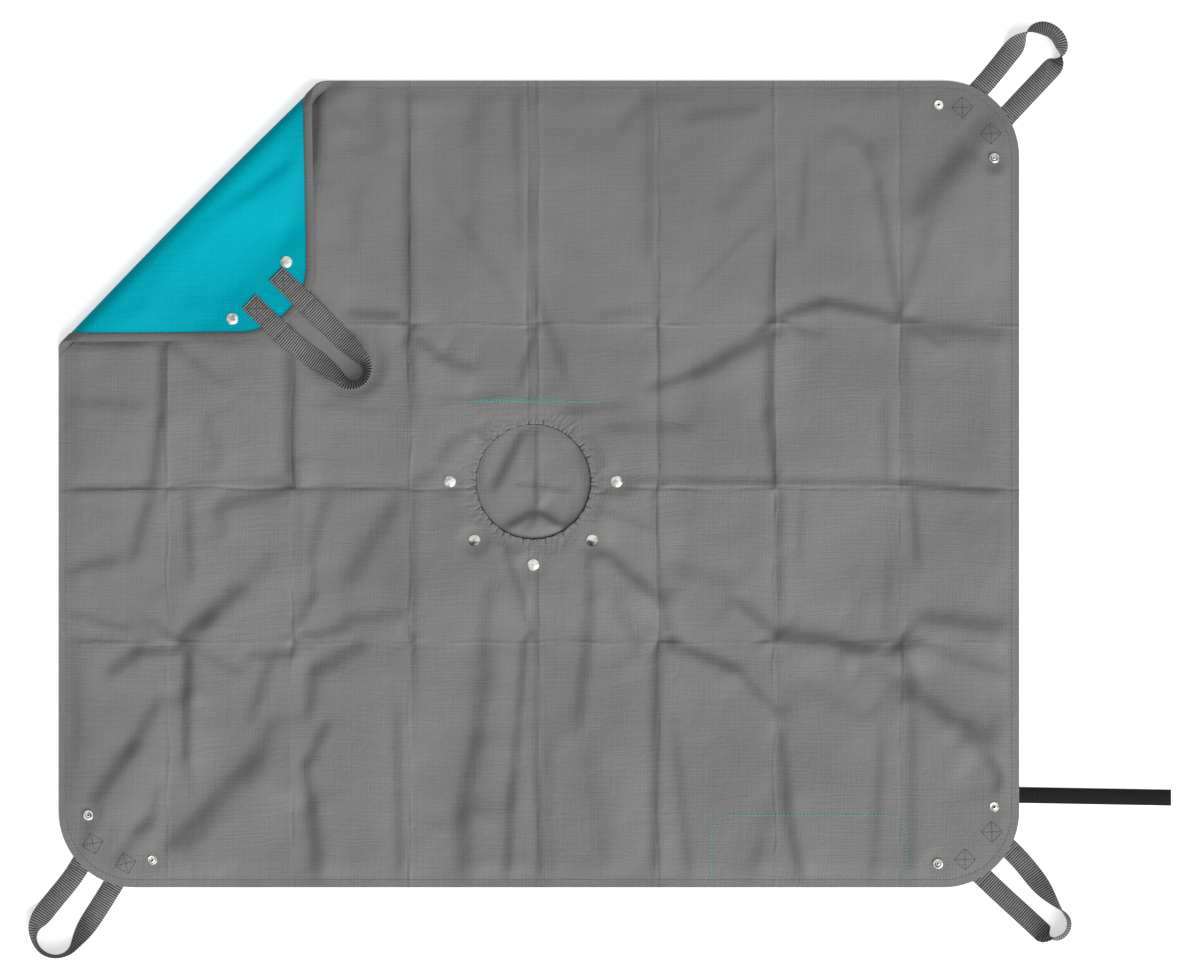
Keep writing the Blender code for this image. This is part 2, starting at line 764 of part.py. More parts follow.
def add_turned_corner(materials, carrier):
    """The corner panel, turquoise side up, with the hem on that side."""
    half = SHEET_THICKNESS / 2
    outline = turned_outline(0)
    bm = cloth(outline, turned, -half, half, panel_cuts())
    panel = add_piece("corner_sheet", bm, materials["turquoise_tarpaulin"], carrier)
    places = [corner_snap_place("left_top", mate) for mate in ("stud", "socket")]
    cut_snap_holes(panel, [turned(x, y, 0) for x, y in places], carrier)
    over = -half - CLOTH_GAP
    band = outline + turned_outline(HEM_WIDTH)[::-1]
    bm = cloth(band, turned, over - HEM_THICKNESS, over, panel_cuts())
    add_piece("corner_hem", bm, materials["grey_tarpaulin"], carrier)


def add_fold_roll(materials, carrier):
    """The bend of the sheet between the main sheet and the turned panel."""
    near = edge_crossings(CLOTH_GAP / 2, 0)
    far = edge_crossings(FOLD_GIRTH - CLOTH_GAP / 2, 0)
    outline = [near[0], near[1], far[1], far[0]]
    distances = [FOLD_GIRTH * i / FOLD_STEPS for i in range(1, FOLD_STEPS)]
    half = SHEET_THICKNESS / 2
    bm = cloth(outline, turned, -half, half, fold_cuts(distances))
    add_piece("fold_roll", bm, materials["turquoise_tarpaulin"], carrier)


def add_opening_elastic(materials, carrier):
    """The flat elastic in the rim of the opening."""
    centre = Vector((OPENING_X, OPENING_Y))
    inner = arc(centre, OPENING_RADIUS, 0, 360, OPENING_STEPS)[:-1]
    outer = arc(centre, OPENING_RADIUS + ELASTIC_WIDTH, 0, 360, OPENING_STEPS)[:-1]
    over = -SHEET_THICKNESS / 2 - CLOTH_GAP
    bm = cloth(outer, laid, over - ELASTIC_THICKNESS, over, holes=[inner])
    add_piece("opening_elastic", bm, materials["black_elastic"], carrier)


def flap_level(x, y):
    """The flap lies low under the opening and rises to its seam."""
    seam = OPENING_Y + FLAP_SEAM_DISTANCE
    rise = smooth_step((y - seam + FLAP_RISE_LENGTH) / FLAP_RISE_LENGTH)
    return FLAP_LEVEL + (FLAP_SEAM_LEVEL - FLAP_LEVEL) * rise


def flap_point(x, y, depth):
    return Vector((x, y, flap_level(x, y) + depth))


def add_flap(materials, parent):
    """The round flap that closes the opening from below, with its five press studs."""
    seam = OPENING_Y + FLAP_SEAM_DISTANCE
    carrier = Carrier("flap_pivot", (OPENING_X, seam, FLAP_SEAM_LEVEL), parent)
    centre = Vector((OPENING_X, OPENING_Y))
    seam_bearing = math.degrees(math.asin(FLAP_SEAM_DISTANCE / FLAP_RADIUS))
    outline = arc(centre, FLAP_RADIUS, 180 - seam_bearing, 360 + seam_bearing, FLAP_STEPS)
    rises = [seam - FLAP_RISE_LENGTH * (1 - i / FLAP_RISE_STEPS) for i in range(FLAP_RISE_STEPS)]
    half = FLAP_THICKNESS / 2
    bm = cloth(outline, flap_point, -half, half, line_cuts(rises, (0, 1)))
    flap = add_piece("cover_flap", bm, materials["grey_tarpaulin"], carrier)
    places = [flap_point(*centre_snap_place(b), 0) for b in CENTRE_SNAP_BEARINGS.values()]
    cut_snap_holes(flap, places, carrier)
    for (name, bearing), place in zip(CENTRE_SNAP_BEARINGS.items(), places):
        names = (f"flap_cap_{name}", f"flap_stud_{name}")
        add_snap(names, place, "stud", FLAP_THICKNESS, -1, 1, materials["nickel"], carrier)
    return carrier


def add_pocket(materials, carrier):
    """The flat pocket sewn to the turquoise side, open towards the bottom edge."""
    right = SHEET_LENGTH / 2 - POCKET_FROM_RIGHT
    left = right - POCKET_WIDTH
    mouth = -SHEET_WIDTH / 2 + HEM_WIDTH + CLOTH_GAP
    closed = mouth + POCKET_DEPTH
    radius = POCKET_CORNER_RADIUS
    outline = [Vector((left, mouth)), Vector((right, mouth))]
    corner = Vector((right - radius, closed - radius))
    outline += arc(corner, radius, 0, 90, POCKET_CORNER_STEPS)
    corner = Vector((left + radius, closed - radius))
    outline += arc(corner, radius, 90, 180, POCKET_CORNER_STEPS)
    over = -SHEET_THICKNESS / 2 - CLOTH_GAP
    bm = cloth(outline, laid, over - POCKET_THICKNESS, over)
    add_piece("tool_pocket", bm, materials["grey_tarpaulin"], carrier)


def add_centre_snaps(materials, carrier):
    for name, bearing in CENTRE_SNAP_BEARINGS.items():
        names = (f"centre_cap_{name}", f"centre_socket_{name}")
        place = laid(*centre_snap_place(bearing), 0)
        add_snap(names, place, "socket", SHEET_THICKNESS, 1, 1, materials["nickel"], carrier)


def add_corner_snaps(corner, place, up, materials, carrier):
    for mate in ("stud", "socket"):
        names = (f"{corner}_cap_of_{mate}", f"{corner}_{mate}")
        spot = place(*corner_snap_place(corner, mate), 0)
        add_snap(names, spot, mate, SHEET_THICKNESS, -1, up, materials["nickel"], carrier)


def add_strap(materials, carrier):
    """The elastic strap: a sewn end under the hem and a flat loop that swings from it."""
    height = 2 * STRAP_LAYER + STRAP_SLOT
    half = height / 2
    middle = -SHEET_WIDTH / 2 + STRAP_FROM_BOTTOM
    edge = SHEET_LENGTH / 2
    pivot = edge + PIVOT_TO_EDGE

    def point(along, across, depth):
        return Vector((along, middle + across, half + depth))

    end = pivot - height - PIVOT_GAP
    sections = sewn_end_sections(edge - STRAP_SEWN_REACH, end, STRAP_WIDTH, height, point)
    add_piece("strap_sewn_end", strip(sections), materials["black_elastic"], carrier)

    swing = Carrier("strap_pivot", (pivot, middle, half), carrier)
    far = edge + STRAP_LENGTH - half
    outline = [(pivot + before, half * share) for before, share in nose(half)]
    outer = [Vector(p) for p in outline]
    outer += arc(Vector((far, 0)), half, 90, -90, STRAP_END_STEPS)
    outer += [Vector((x, -z)) for x, z in reversed(outline)]
    slot = STRAP_SLOT / 2
    inner = [Vector((pivot + STRAP_SEWN_TIP, slot)), Vector((pivot + STRAP_SEWN_TIP, -slot))]
    inner += arc(Vector((far, 0)), slot, -90, 90, STRAP_END_STEPS)

    def edgewise(along, level, across):
        return Vector((along, middle + across, half + level))

    bm = cloth(outer, edgewise, -STRAP_WIDTH / 2, STRAP_WIDTH / 2, holes=[inner])
    add_piece("elastic_strap", bm, materials["black_elastic"], swing)
    return swing


def centre_on_origin(frame, carriers):
    """Moves everything so that the origin lies under the middle of the finished object."""
    lows = []
    highs = []
    for carrier in carriers:
        for piece in carrier.pieces:
            points = [v.co + carrier.place for v in piece.data.vertices]
            lows.append([min(p[i] for p in points) for i in range(3)])
            highs.append([max(p[i] for p in points) for i in range(3)])
    low = Vector([min(values) for values in zip(*lows)])
    high = Vector([max(values) for values in zip(*highs)])
    middle = (low + high) / 2
    frame.empty.location = (-middle.x, -middle.y, -low.z)


def build():
    clear_scene()
    materials = make_materials()
    frame = Carrier("mat_frame", (0, 0, 0))
    add_sheet(materials, frame)
    add_hem(materials, frame)
    add_opening_elastic(materials, frame)
    add_pocket(materials, frame)
    add_fold_roll(materials, frame)
    add_centre_snaps(materials, frame)

    fold = Carrier("corner_fold_axis", (*FOLD_START, EDGE_LEVEL + FOLD_RADIUS), frame)
    add_turned_corner(materials, fold)

    loops = []
    webbing_depth = -SHEET_THICKNESS / 2 - HEM_THICKNESS - 2 * CLOTH_GAP - WEBBING_THICKNESS / 2
    for corner in HANDLES:
        turned_over = corner == "left_top"
        place = turned if turned_over else laid
        carrier = fold if turned_over else frame
        up = -1 if turned_over else 1
        add_corner_snaps(corner, place, up, materials, carrier)
        add_sewn_ends(corner, place, webbing_depth, materials["webbing"], carrier)
        ground = EDGE_LEVEL + SHEET_THICKNESS / 2 + CLOTH_GAP if turned_over else 0
        root_level = (PANEL_LOW if turned_over else EDGE_LEVEL) + up * webbing_depth
        loop = add_loop(corner, materials["webbing"], ground, root_level, turned_over, carrier)
        loops.append(loop)

    strap = add_strap(materials, frame)
    flap = add_flap(materials, frame)
    centre_on_origin(frame, [frame, fold, strap, flap, *loops])


build()
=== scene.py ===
"""Looks of the repotting mat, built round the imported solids.

Lengths are in metres. Flat places are given on the sheet laid out flat, from its middle, with +X
to the right and +Y to the top, and placed() takes them to the frame of the solids.
"""

import json
import math

import bmesh
import bpy
import numpy as np
from mathutils import Matrix, Vector, bvhtree, noise

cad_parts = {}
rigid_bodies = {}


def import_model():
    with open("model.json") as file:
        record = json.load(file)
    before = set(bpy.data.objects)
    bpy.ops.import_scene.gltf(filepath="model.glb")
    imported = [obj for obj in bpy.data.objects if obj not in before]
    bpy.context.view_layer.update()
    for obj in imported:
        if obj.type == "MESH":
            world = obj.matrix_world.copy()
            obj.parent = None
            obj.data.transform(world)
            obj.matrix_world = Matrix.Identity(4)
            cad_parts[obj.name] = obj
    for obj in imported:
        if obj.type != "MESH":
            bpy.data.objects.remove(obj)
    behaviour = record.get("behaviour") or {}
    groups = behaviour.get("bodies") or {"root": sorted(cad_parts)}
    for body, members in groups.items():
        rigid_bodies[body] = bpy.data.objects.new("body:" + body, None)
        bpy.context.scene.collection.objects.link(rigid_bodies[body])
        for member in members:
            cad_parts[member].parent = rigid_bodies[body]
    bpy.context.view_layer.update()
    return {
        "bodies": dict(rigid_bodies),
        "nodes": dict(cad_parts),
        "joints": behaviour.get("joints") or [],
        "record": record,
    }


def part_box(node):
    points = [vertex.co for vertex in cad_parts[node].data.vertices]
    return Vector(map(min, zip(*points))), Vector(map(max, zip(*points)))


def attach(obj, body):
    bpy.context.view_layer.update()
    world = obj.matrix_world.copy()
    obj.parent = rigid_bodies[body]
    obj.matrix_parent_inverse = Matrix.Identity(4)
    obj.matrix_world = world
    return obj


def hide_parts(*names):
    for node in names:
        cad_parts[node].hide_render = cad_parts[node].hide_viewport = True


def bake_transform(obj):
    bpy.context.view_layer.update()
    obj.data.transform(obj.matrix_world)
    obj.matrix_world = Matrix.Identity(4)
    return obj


MM = 0.001

# Sheet
SHEET_LENGTH = 1200 * MM
SHEET_WIDTH = 1008 * MM
SHEET_THICKNESS = 0.6 * MM
SHEET_CELL = 5.4 * MM
CRISP_ANGLE = math.radians(50)
CORNER_RADIUS = 95 * MM
CORNER_STEPS = 18
CUT_BAND = 12 * MM
STORAGE_CUTS = (-2.5 * MM, 0, 2.5 * MM)
EDGE_LEVEL = 3.1 * MM
CENTRE_LEVEL = 7.3 * MM
RAISED_HALF = 135 * MM
RAISED_RAMP = 60 * MM
FLOOR_CLEARANCE = 0.5 * MM

# How far cloth is held still beside what is fixed to it, and the length over which it gets free
EDGE_HOLD = (6 * MM, 26 * MM)
OPENING_HOLD = (6 * MM, 22 * MM)
STUD_HOLD = (8 * MM, 16 * MM)
LOOP_HOLD = (34 * MM, 18 * MM)
SEWN_HOLD = (14 * MM, 14 * MM)
PANEL_TIP_HOLD = (30 * MM, 50 * MM)

# Lift and lowest dip of the loose cloth
LOOSE_LIFT = 2.4 * MM
LOWEST_DIP = 20 * MM

# Hem and its stitches
HEM_WIDTH = 10.5 * MM
HEM_DEPTH = 1.1 * MM
HEM_ROUND = 0.35 * MM
HEM_SLANT_REACH = 24 * MM
HEM_SEAM_INSET = 1.2 * MM
STITCH_RISE = 0.4 * MM
HEM_STITCH = (4.2 * MM, 3.2 * MM, 1.0 * MM)
BOX_STITCH = (2.6 * MM, 2.2 * MM, 1.0 * MM)
POCKET_STITCH = (4.4 * MM, 3.3 * MM, 1.7 * MM)
FLAP_STITCH = (2.9 * MM, 2.8 * MM, 1.9 * MM)

# Turned corner
TURNED_LEG = 347 * MM
FOLD_RADIUS = 12 * MM
PANEL_LOW = 6.7 * MM
PANEL_FALL = 100 * MM
PANEL_CELL = 4 * MM
FOLD_BOW = 3 * MM
FOLD_STEPS = 24
PANEL_SLIP = Vector((-3.2 * MM, -2.6 * MM))
PANEL_SKEW = 0.012

# Opening, flap and pocket
OPENING = Vector((-7 * MM, 3 * MM))
OPENING_RADIUS = 72 * MM
OPENING_STEPS = 72
RIM_RADIUS = 94 * MM
RIM_WIDTH = 12 * MM
RIM_CURL = 0.9 * MM
RIM_FLAT_SHARE = 0.82
RIM_ROWS = 34
GATHER_RADIUS = 84 * MM
GATHER_HEIGHT = 0.3 * MM
RIM_STEPS = 720
RIM_GATHERS = 64
RIM_DENTS = 90
RIM_TUCK = 1.9 * MM
RIM_TUCK_WIDTH = 1.1 * MM
SNAP_CIRCLE_RADIUS = 104 * MM
CENTRE_SNAP_BEARINGS = {"left": 180, "left_low": 225, "low": 270, "right_low": 315, "right": 0}
FLAP_RADIUS = 127 * MM
FLAP_STEPS = 72
FLAP_CELL = 3 * MM
POCKET_CELL = 5 * MM
FLAP_SEAM_DISTANCE = 99 * MM
FLAP_LEVEL = 2.8 * MM
FLAP_SEAM_LEVEL = 6.4 * MM
FLAP_RISE_LENGTH = 39 * MM
POCKET_SIZE = (255 * MM, 85 * MM)
POCKET_FROM_RIGHT = 136 * MM
POCKET_CORNER_RADIUS = 32 * MM
POCKET_SEAM_INSET = 5 * MM
POCKET_LEVEL = 2.2 * MM

# Press studs
CAP_RADIUS = 7.3 * MM
CAP_HEIGHT = 2.2 * MM
STUD_RADIUS = 5.8 * MM
STUD_FLANGE = 0.8 * MM
NIPPLE_RADIUS = 2.5 * MM
NIPPLE_HEIGHT = 1.6 * MM
SOCKET_RADIUS = 6.4 * MM
SOCKET_HEIGHT = 2.2 * MM
SNAP_SEAT = 0.05 * MM
LATHE_STEPS = 40
CRISP_METAL_ANGLE = math.radians(55)
# Caps with painted shade on their lower half, and where below the middle it starts and deepens
CAPS_SHADED_BELOW = ("centre_cap_left_low", "centre_cap_right_low")
HALF_SHADE_FROM = 0.2 * MM
FULL_SHADE_FROM = 1.8 * MM
# Rings of painted shade in the hollows of studs and sockets: inner and outer radius and lowest
# height
PAINTED_SHADE_RINGS = {
    "stud": ((0, 1.75 * MM, 0.3 * MM),),
    "socket": ((3 * MM, 4.1 * MM, 1.5 * MM), (0, 1.45 * MM, 0.3 * MM)),
}
CORNER_SNAP_SHARES = {
    "right_top": {"stud": (1.06, 0.32), "socket": (0.33, 1.02)},
    "right_bottom": {"stud": (0.33, 1.06), "socket": (1.07, 0.31)},
    "left_bottom": {"stud": (1.23, 0.36), "socket": (0.39, 0.95)},
    "left_top": {"stud": (0.28, 1.09), "socket": (1.02, 0.37)},
}
CORNER_SIDES = {
    "right_top": (1, 1), "right_bottom": (1, -1), "left_bottom": (-1, -1), "left_top": (-1, 1),
}
LAID_CORNERS = ("left_bottom", "right_bottom", "right_top")

# Handles
WEBBING_WIDTH = 25 * MM
WEBBING_THICKNESS = 1.4 * MM
STRAND_SPACING = 48 * MM
SEWN_REACH = 44 * MM
SEWN_GAP = 0.08 * MM
BOX_SIZE = 19 * MM
BOX_FROM_TIP = 4 * MM
TURNED_SEWN_GAIN = 6 * MM
PIVOT_TO_EDGE = 4.3 * MM
LOOP_LANDING = 40 * MM
WEBBING_STEP = 3 * MM
HANDLES = {
    "right_top": {
        "bearing": 47.2, "reach": 115.6 * MM, "turn": 141,
        "start_shares": (0.47, 0.64), "spread_share": 1.097, "sway_share": 0.076,
    },
    "right_bottom": {
        "bearing": -44.2, "reach": 124 * MM, "turn": 108,
        "start_shares": (0.213, 0.8), "spread_share": 0.752, "sway_share": -0.162,
    },
    "left_bottom": {
        "bearing": -121, "reach": 117.9 * MM, "turn": 88,
        "start_shares": (0.299, 0.514), "spread_share": 1.143, "sway_share": -0.219,
    },
    "left_top": {
        "bearing": 135, "reach": 122 * MM, "turn": 64,
        "start_shares": (0.45, 0.36), "spread_share": 0.8, "sway_share": 0.2,
    },
}

# Elastic strap
STRAP_LENGTH = 190 * MM
STRAP_WIDTH = 20 * MM
STRAP_FROM_BOTTOM = 114 * MM
STRAP_THICKNESS = 1.4 * MM
STRAP_SEWN_REACH = 25 * MM

# The photograph's scale, for creases placed by its pixels
PIXEL = 1.25 * MM
PHOTO_MIDDLE = (539, 484)

# Storage creases: column or row pixel, height and half width, both in millimetres
CREASE_COLUMNS = (
    (168, 1.2, 7), (292, -1.3, 7), (411, 1.3, 6), (527, -0.8, 4), (539, 1.1, 4), (657, -1.1, 6),
    (775, 1.2, 7), (899, -1.1, 7),
)
CREASE_ROWS = ((325, 0.9, 7), (488, -1.4, 5), (643, 0.9, 7))
PILLOW = 2.6 * MM
# How strongly painted shade darkens the cloth deep in its folds
FOLD_PAINTED_SHADE = 0.4
FOLD_SPREAD = 4.5
FOLD_GAIN = 1.35
FOLD_WIDTH_SHARE = 0.68
# The most painted fold shade that a point can take
PAINTED_SHADE_LIMIT = 0.55

# Crossings of creases where the cloth is pinched: pixel, reach in pixels and steepness
PINCHES = (
    (412, 327, 20, 0.5), (530, 330, 15, 0.36), (775, 320, 24, 0.56), (900, 320, 24, 0.6),
    (658, 326, 14, 0.36), (178, 641, 26, 0.56), (297, 640, 24, 0.5), (412, 638, 14, 0.3),
    (531, 636, 13, 0.26), (660, 641, 22, 0.46), (779, 637, 24, 0.5), (898, 646, 24, 0.56),
    (776, 487, 18, 0.42), (658, 486, 14, 0.32), (293, 488, 14, 0.36), (168, 489, 14, 0.34),
    (900, 486, 14, 0.34), (168, 350, 12, 0.3),
)

# Soft folds, by pixel: start, end, half width in pixels and steepness. A positive steepness turns
# the middle of the fold away from the light.
FOLDS = (
    (318, 90, 312, 168, 7, 0.4), (320, 96, 352, 128, 9, 0.16), (410, 95, 408, 200, 6, 0.2),
    (409, 190, 413, 400, 6, 0.34), (355, 190, 358, 250, 8, 0.12), (375, 92, 380, 150, 14, 0.12),
    (440, 190, 520, 310, 8, 0.16), (478, 100, 470, 250, 12, 0.1), (515, 96, 520, 250, 6, 0.18),
    (531, 180, 535, 335, 5, 0.18), (535, 330, 520, 384, 5, 0.24), (345, 315, 398, 315, 7, 0.32),
    (390, 314, 412, 330, 5, 0.26), (411, 334, 444, 360, 7, 0.34), (438, 358, 476, 372, 8, 0.26),
    (164, 346, 162, 424, 6, 0.4), (162, 414, 153, 486, 6, 0.34), (174, 348, 228, 388, 7, 0.24),
    (290, 345, 290, 474, 7, 0.42), (290, 462, 296, 487, 8, 0.28), (205, 420, 222, 462, 10, 0.16),
    (64, 400, 150, 408, 9, 0.14), (310, 402, 385, 412, 6, 0.12), (440, 402, 512, 394, 6, 0.16),
    (412, 480, 446, 469, 5, 0.18), (474, 428, 492, 446, 6, 0.36), (455, 436, 438, 462, 6, 0.18),
    (64, 489, 152, 487, 4, 0.42), (148, 487, 290, 480, 4, 0.18), (220, 507, 294, 488, 9, 0.24),
    (298, 487, 420, 487, 3.5, 0.26), (152, 492, 133, 562, 8, 0.26), (64, 572, 118, 560, 8, 0.26),
    (188, 492, 191, 578, 6, 0.28), (218, 500, 224, 536, 9, 0.16), (64, 611, 130, 630, 5, 0.22),
    (150, 618, 180, 644, 5, 0.26), (176, 650, 216, 612, 8, 0.42), (198, 626, 242, 588, 11, 0.42),
    (238, 592, 276, 556, 12, 0.16), (180, 650, 134, 651, 6, 0.34), (142, 650, 108, 674, 8, 0.3),
    (190, 646, 187, 700, 7, 0.56), (187, 690, 186, 760, 6, 0.5), (186, 752, 191, 796, 6, 0.2),
    (204, 654, 242, 674, 6, 0.2), (248, 655, 299, 653, 5, 0.3), (300, 638, 348, 628, 6, 0.3),
    (338, 620, 404, 614, 8, 0.22), (400, 612, 413, 644, 5, 0.22), (330, 492, 309, 560, 7, 0.2),
    (312, 552, 314, 600, 5, 0.22), (314, 592, 300, 624, 6, 0.3), (300, 490, 298, 640, 3.5, 0.16),
    (400, 496, 344, 588, 13, 0.22), (364, 643, 314, 674, 11, 0.26), (315, 664, 309, 718, 7, 0.3),
    (329, 720, 305, 768, 6, 0.34), (305, 762, 314, 812, 6, 0.36), (312, 798, 319, 884, 9, 0.42),
    (413, 490, 414, 690, 4, 0.16), (397, 710, 400, 884, 6, 0.3), (490, 586, 480, 660, 10, 0.2),
    (490, 646, 474, 748, 13, 0.24), (476, 736, 460, 822, 13, 0.3), (462, 810, 466, 884, 13, 0.3),
    (505, 548, 524, 604, 5, 0.36), (520, 606, 536, 642, 4, 0.22), (525, 640, 512, 794, 5, 0.32),
    (512, 784, 507, 884, 5.5, 0.38), (537, 560, 535, 784, 4, 0.2), (537, 774, 540, 884, 5, 0.32),
    (272, 656, 250, 724, 9, 0.24), (276, 716, 248, 782, 13, 0.22), (256, 756, 166, 854, 16, 0.36),
    (160, 698, 128, 758, 9, 0.3), (137, 742, 90, 808, 9, 0.42), (91, 816, 80, 858, 6, 0.45),
    (158, 786, 150, 832, 6, 0.22), (150, 818, 110, 868, 8, 0.38), (186, 846, 208, 880, 12, 0.14),
    (70, 650, 80, 744, 12, 0.12), (66, 640, 120, 642, 5, 0.16), (648, 390, 704, 371, 6, 0.34),
    (696, 374, 774, 333, 10, 0.46), (773, 319, 828, 302, 6, 0.5), (824, 302, 900, 318, 6, 0.48),
    (774, 330, 826, 336, 6, 0.22), (904, 324, 1012, 338, 14, 0.26), (898, 320, 944, 347, 5, 0.28),
    (866, 146, 880, 190, 8, 0.2), (878, 180, 898, 314, 6, 0.27), (930, 220, 901, 316, 7, 0.16),
    (912, 218, 1000, 114, 17, 0.26), (940, 178, 994, 118, 9, 0.16), (930, 92, 966, 116, 6, 0.24),
    (836, 128, 884, 160, 9, 0.16), (650, 94, 648, 262, 8, 0.16), (620, 132, 650, 92, 9, 0.14),
    (688, 118, 762, 108, 8, 0.18), (770, 150, 720, 210, 12, 0.1), (806, 150, 800, 244, 4, 0.2),
    (776, 240, 770, 322, 6, 0.22), (770, 340, 768, 420, 6, 0.36), (768, 410, 776, 484, 6, 0.38),
    (656, 262, 656, 330, 4, 0.18), (657, 330, 661, 480, 5, 0.16), (884, 400, 886, 482, 5, 0.2),
    (905, 330, 910, 484, 5, 0.12), (602, 478, 704, 481, 4, 0.24), (696, 481, 902, 483, 4.5, 0.36),
    (896, 483, 1012, 493, 5, 0.36), (560, 413, 626, 405, 5, 0.22), (596, 428, 692, 428, 10, 0.18),
    (598, 508, 652, 530, 5, 0.2), (600, 492, 640, 486, 5, 0.24), (538, 296, 568, 380, 7, 0.26),
    (598, 314, 652, 310, 6, 0.14), (688, 296, 756, 226, 4, 0.14), (598, 546, 662, 602, 8, 0.62),
    (660, 596, 674, 648, 7, 0.36), (664, 640, 738, 670, 7, 0.48), (732, 664, 782, 718, 7, 0.4),
    (668, 566, 744, 588, 13, 0.16), (734, 598, 782, 638, 8, 0.42), (778, 634, 852, 643, 10, 0.52),
    (842, 648, 902, 648, 11, 0.48), (870, 664, 900, 690, 12, 0.2), (898, 648, 914, 694, 8, 0.5),
    (904, 682, 984, 742, 14, 0.56), (962, 724, 1002, 778, 9, 0.54), (1000, 770, 997, 802, 5, 0.3),
    (918, 616, 1012, 628, 12, 0.32), (904, 638, 1012, 676, 8, 0.22),
    (780, 494, 779, 546, 4.5, 0.3), (803, 490, 798, 562, 4, 0.16), (779, 556, 780, 634, 5, 0.3),
    (912, 492, 918, 564, 4.5, 0.28), (888, 560, 886, 634, 5, 0.16), (655, 488, 660, 600, 4, 0.2),
    (588, 556, 590, 606, 5, 0.24), (591, 598, 578, 724, 8, 0.26), (612, 598, 642, 650, 10, 0.2),
    (657, 652, 655, 884, 6.5, 0.36), (674, 726, 690, 884, 7, 0.26), (781, 730, 788, 806, 5, 0.32),
    (784, 792, 801, 884, 7, 0.38), (776, 786, 750, 880, 10, 0.16), (882, 736, 872, 884, 6, 0.22),
    (912, 700, 910, 884, 7, 0.22), (800, 680, 866, 722, 12, 0.16), (548, 736, 552, 884, 5, 0.16),
    (588, 740, 606, 868, 14, 0.12), (990, 808, 1000, 852, 6, 0.2), (1002, 500, 1000, 560, 8, 0.14),
)
FLAP_FOLDS = (
    (524, 430, 494, 490, 7, 0.42), (500, 530, 533, 511, 7, 0.42), (539, 511, 568, 529, 7, 0.66),
    (536, 424, 536, 512, 3, 0.4), (530, 424, 529, 470, 4, 0.2), (536, 486, 570, 492, 4, 0.22),
    (580, 438, 594, 500, 7, 0.34), (480, 452, 480, 484, 5, 0.16), (516, 484, 536, 487, 3, 0.2),
    (540, 512, 566, 529, 3, 0.45), (504, 529, 536, 511, 3, 0.3),
)
PANEL_FOLDS = (
    (306, 158, 205, 222, 11, 0.36), (205, 222, 150, 262, 13, 0.2), (300, 128, 232, 172, 12, -0.12),
    (296, 208, 232, 268, 13, -0.16), (262, 236, 180, 312, 13, 0.14),
    (150, 300, 108, 326, 12, 0.18),
)
# Broad patches of painted shade on the cloth, by pixel: start, end, half width in pixels and depth
PAINTED_SHADE_PATCHES = (
    (320, 110, 1000, 120, 95, 0.24), (314, 96, 344, 84, 9, 0.7), (318, 92, 319, 180, 6, 0.3),
    (430, 400, 690, 410, 40, 0.16), (64, 700, 90, 840, 50, 0.12), (64, 400, 130, 410, 40, 0.1),
)
LIGHT_WAY = Vector((0.62, -0.78)).normalized()
LAMP_POWER = 3.3
LAMP_SPREAD = math.radians(60)
LAMP_SLANT = 1.35
FLOOR_GLOW = 0.5
FLOOR_HALF = 6
ROOM_LIGHT = 0.4
CAMERA_DISTANCE = 6.0
SENSOR_WIDTH = 36

# Weave and surface of the cloth and the webbing
WEAVE_PITCH = 2.8 * MM
WEAVE_SHARPNESS = 3.0
WEAVE_GAP = 0.16
# Share of painted shade in the gaps between the tapes
WEAVE_GAP_PAINTED_SHADE = 0.32
FACET_SCALE = 24.0
FACET_BEND = 0.05
FACET_SHARE = 1.6
STREAK_STRETCHES = ((420.0, 14.0, 30.0), (14.0, 420.0, 30.0))
STREAK_SHARE = 0.9
GRAIN_LAYERS = ((230.0, 2.0, 0.45), (34.0, 3.0, 1.8))  # scale, detail and share of the height
CRINKLE_ROWS = (0.12, 0.34)  # how far up the sheet the crinkles fade, in metres
CRINKLE_STRENGTHS = (0.66, 0.42)
ROUGH_RANGE = 0.18
LINE_WOBBLE = 13 * MM
LINE_REACH = 3.6 * MM
THREAD_PITCH = 1.1 * MM


def smooth_step(t):
    t = np.clip(t, 0, 1)
    return t * t * (3 - 2 * t)


def heading(angle):
    """The flat way at an angle in radians."""
    return Vector((math.cos(angle), math.sin(angle)))


def bell(off, width):
    return np.exp(-((off / width) ** 2))


def eased(value, start, length):
    """0 up to a start and 1 from a length beyond it, soft at both ends."""
    return smooth_step((value - start) / length)


def by_pixel(column, row):
    """A place on the sheet by the photograph's pixel."""
    return Vector(((column - PHOTO_MIDDLE[0]) * PIXEL, (PHOTO_MIDDLE[1] - row) * PIXEL))


# Materials

def new_group(name, numbers):
    """A node group that takes a place and gives the named numbers."""
    tree = bpy.data.node_groups.new(name, "ShaderNodeTree")
    tree.interface.new_socket(name="Place", in_out="INPUT", socket_type="NodeSocketVector")
    for number in numbers:
        tree.interface.new_socket(name=number, in_out="OUTPUT", socket_type="NodeSocketFloat")
    place = tree.nodes.new("NodeGroupInput").outputs["Place"]
    return tree, place, tree.nodes.new("NodeGroupOutput")


def feed(tree, made, sources):
    """Links or sets what feeds a node. A colour may come as three numbers."""
    for name, source in sources.items():
        socket = made.inputs[name]
        if isinstance(source, bpy.types.NodeSocket):
            tree.links.new(source, socket)
        elif socket.type == "RGBA":
            socket.default_value = (*source, 1)
        else:
            socket.default_value = source


def node(tree, kind, sources=None, **values):
    """Adds a node, sets its properties and feeds it."""
    made = tree.nodes.new(kind)
    for name, value in values.items():
        setattr(made, name, value)
    feed(tree, made, sources or {})
    return made


def math_node(tree, operation, *values):
    sources = dict(enumerate(values))
    return node(tree, "ShaderNodeMath", sources, operation=operation).outputs[0]


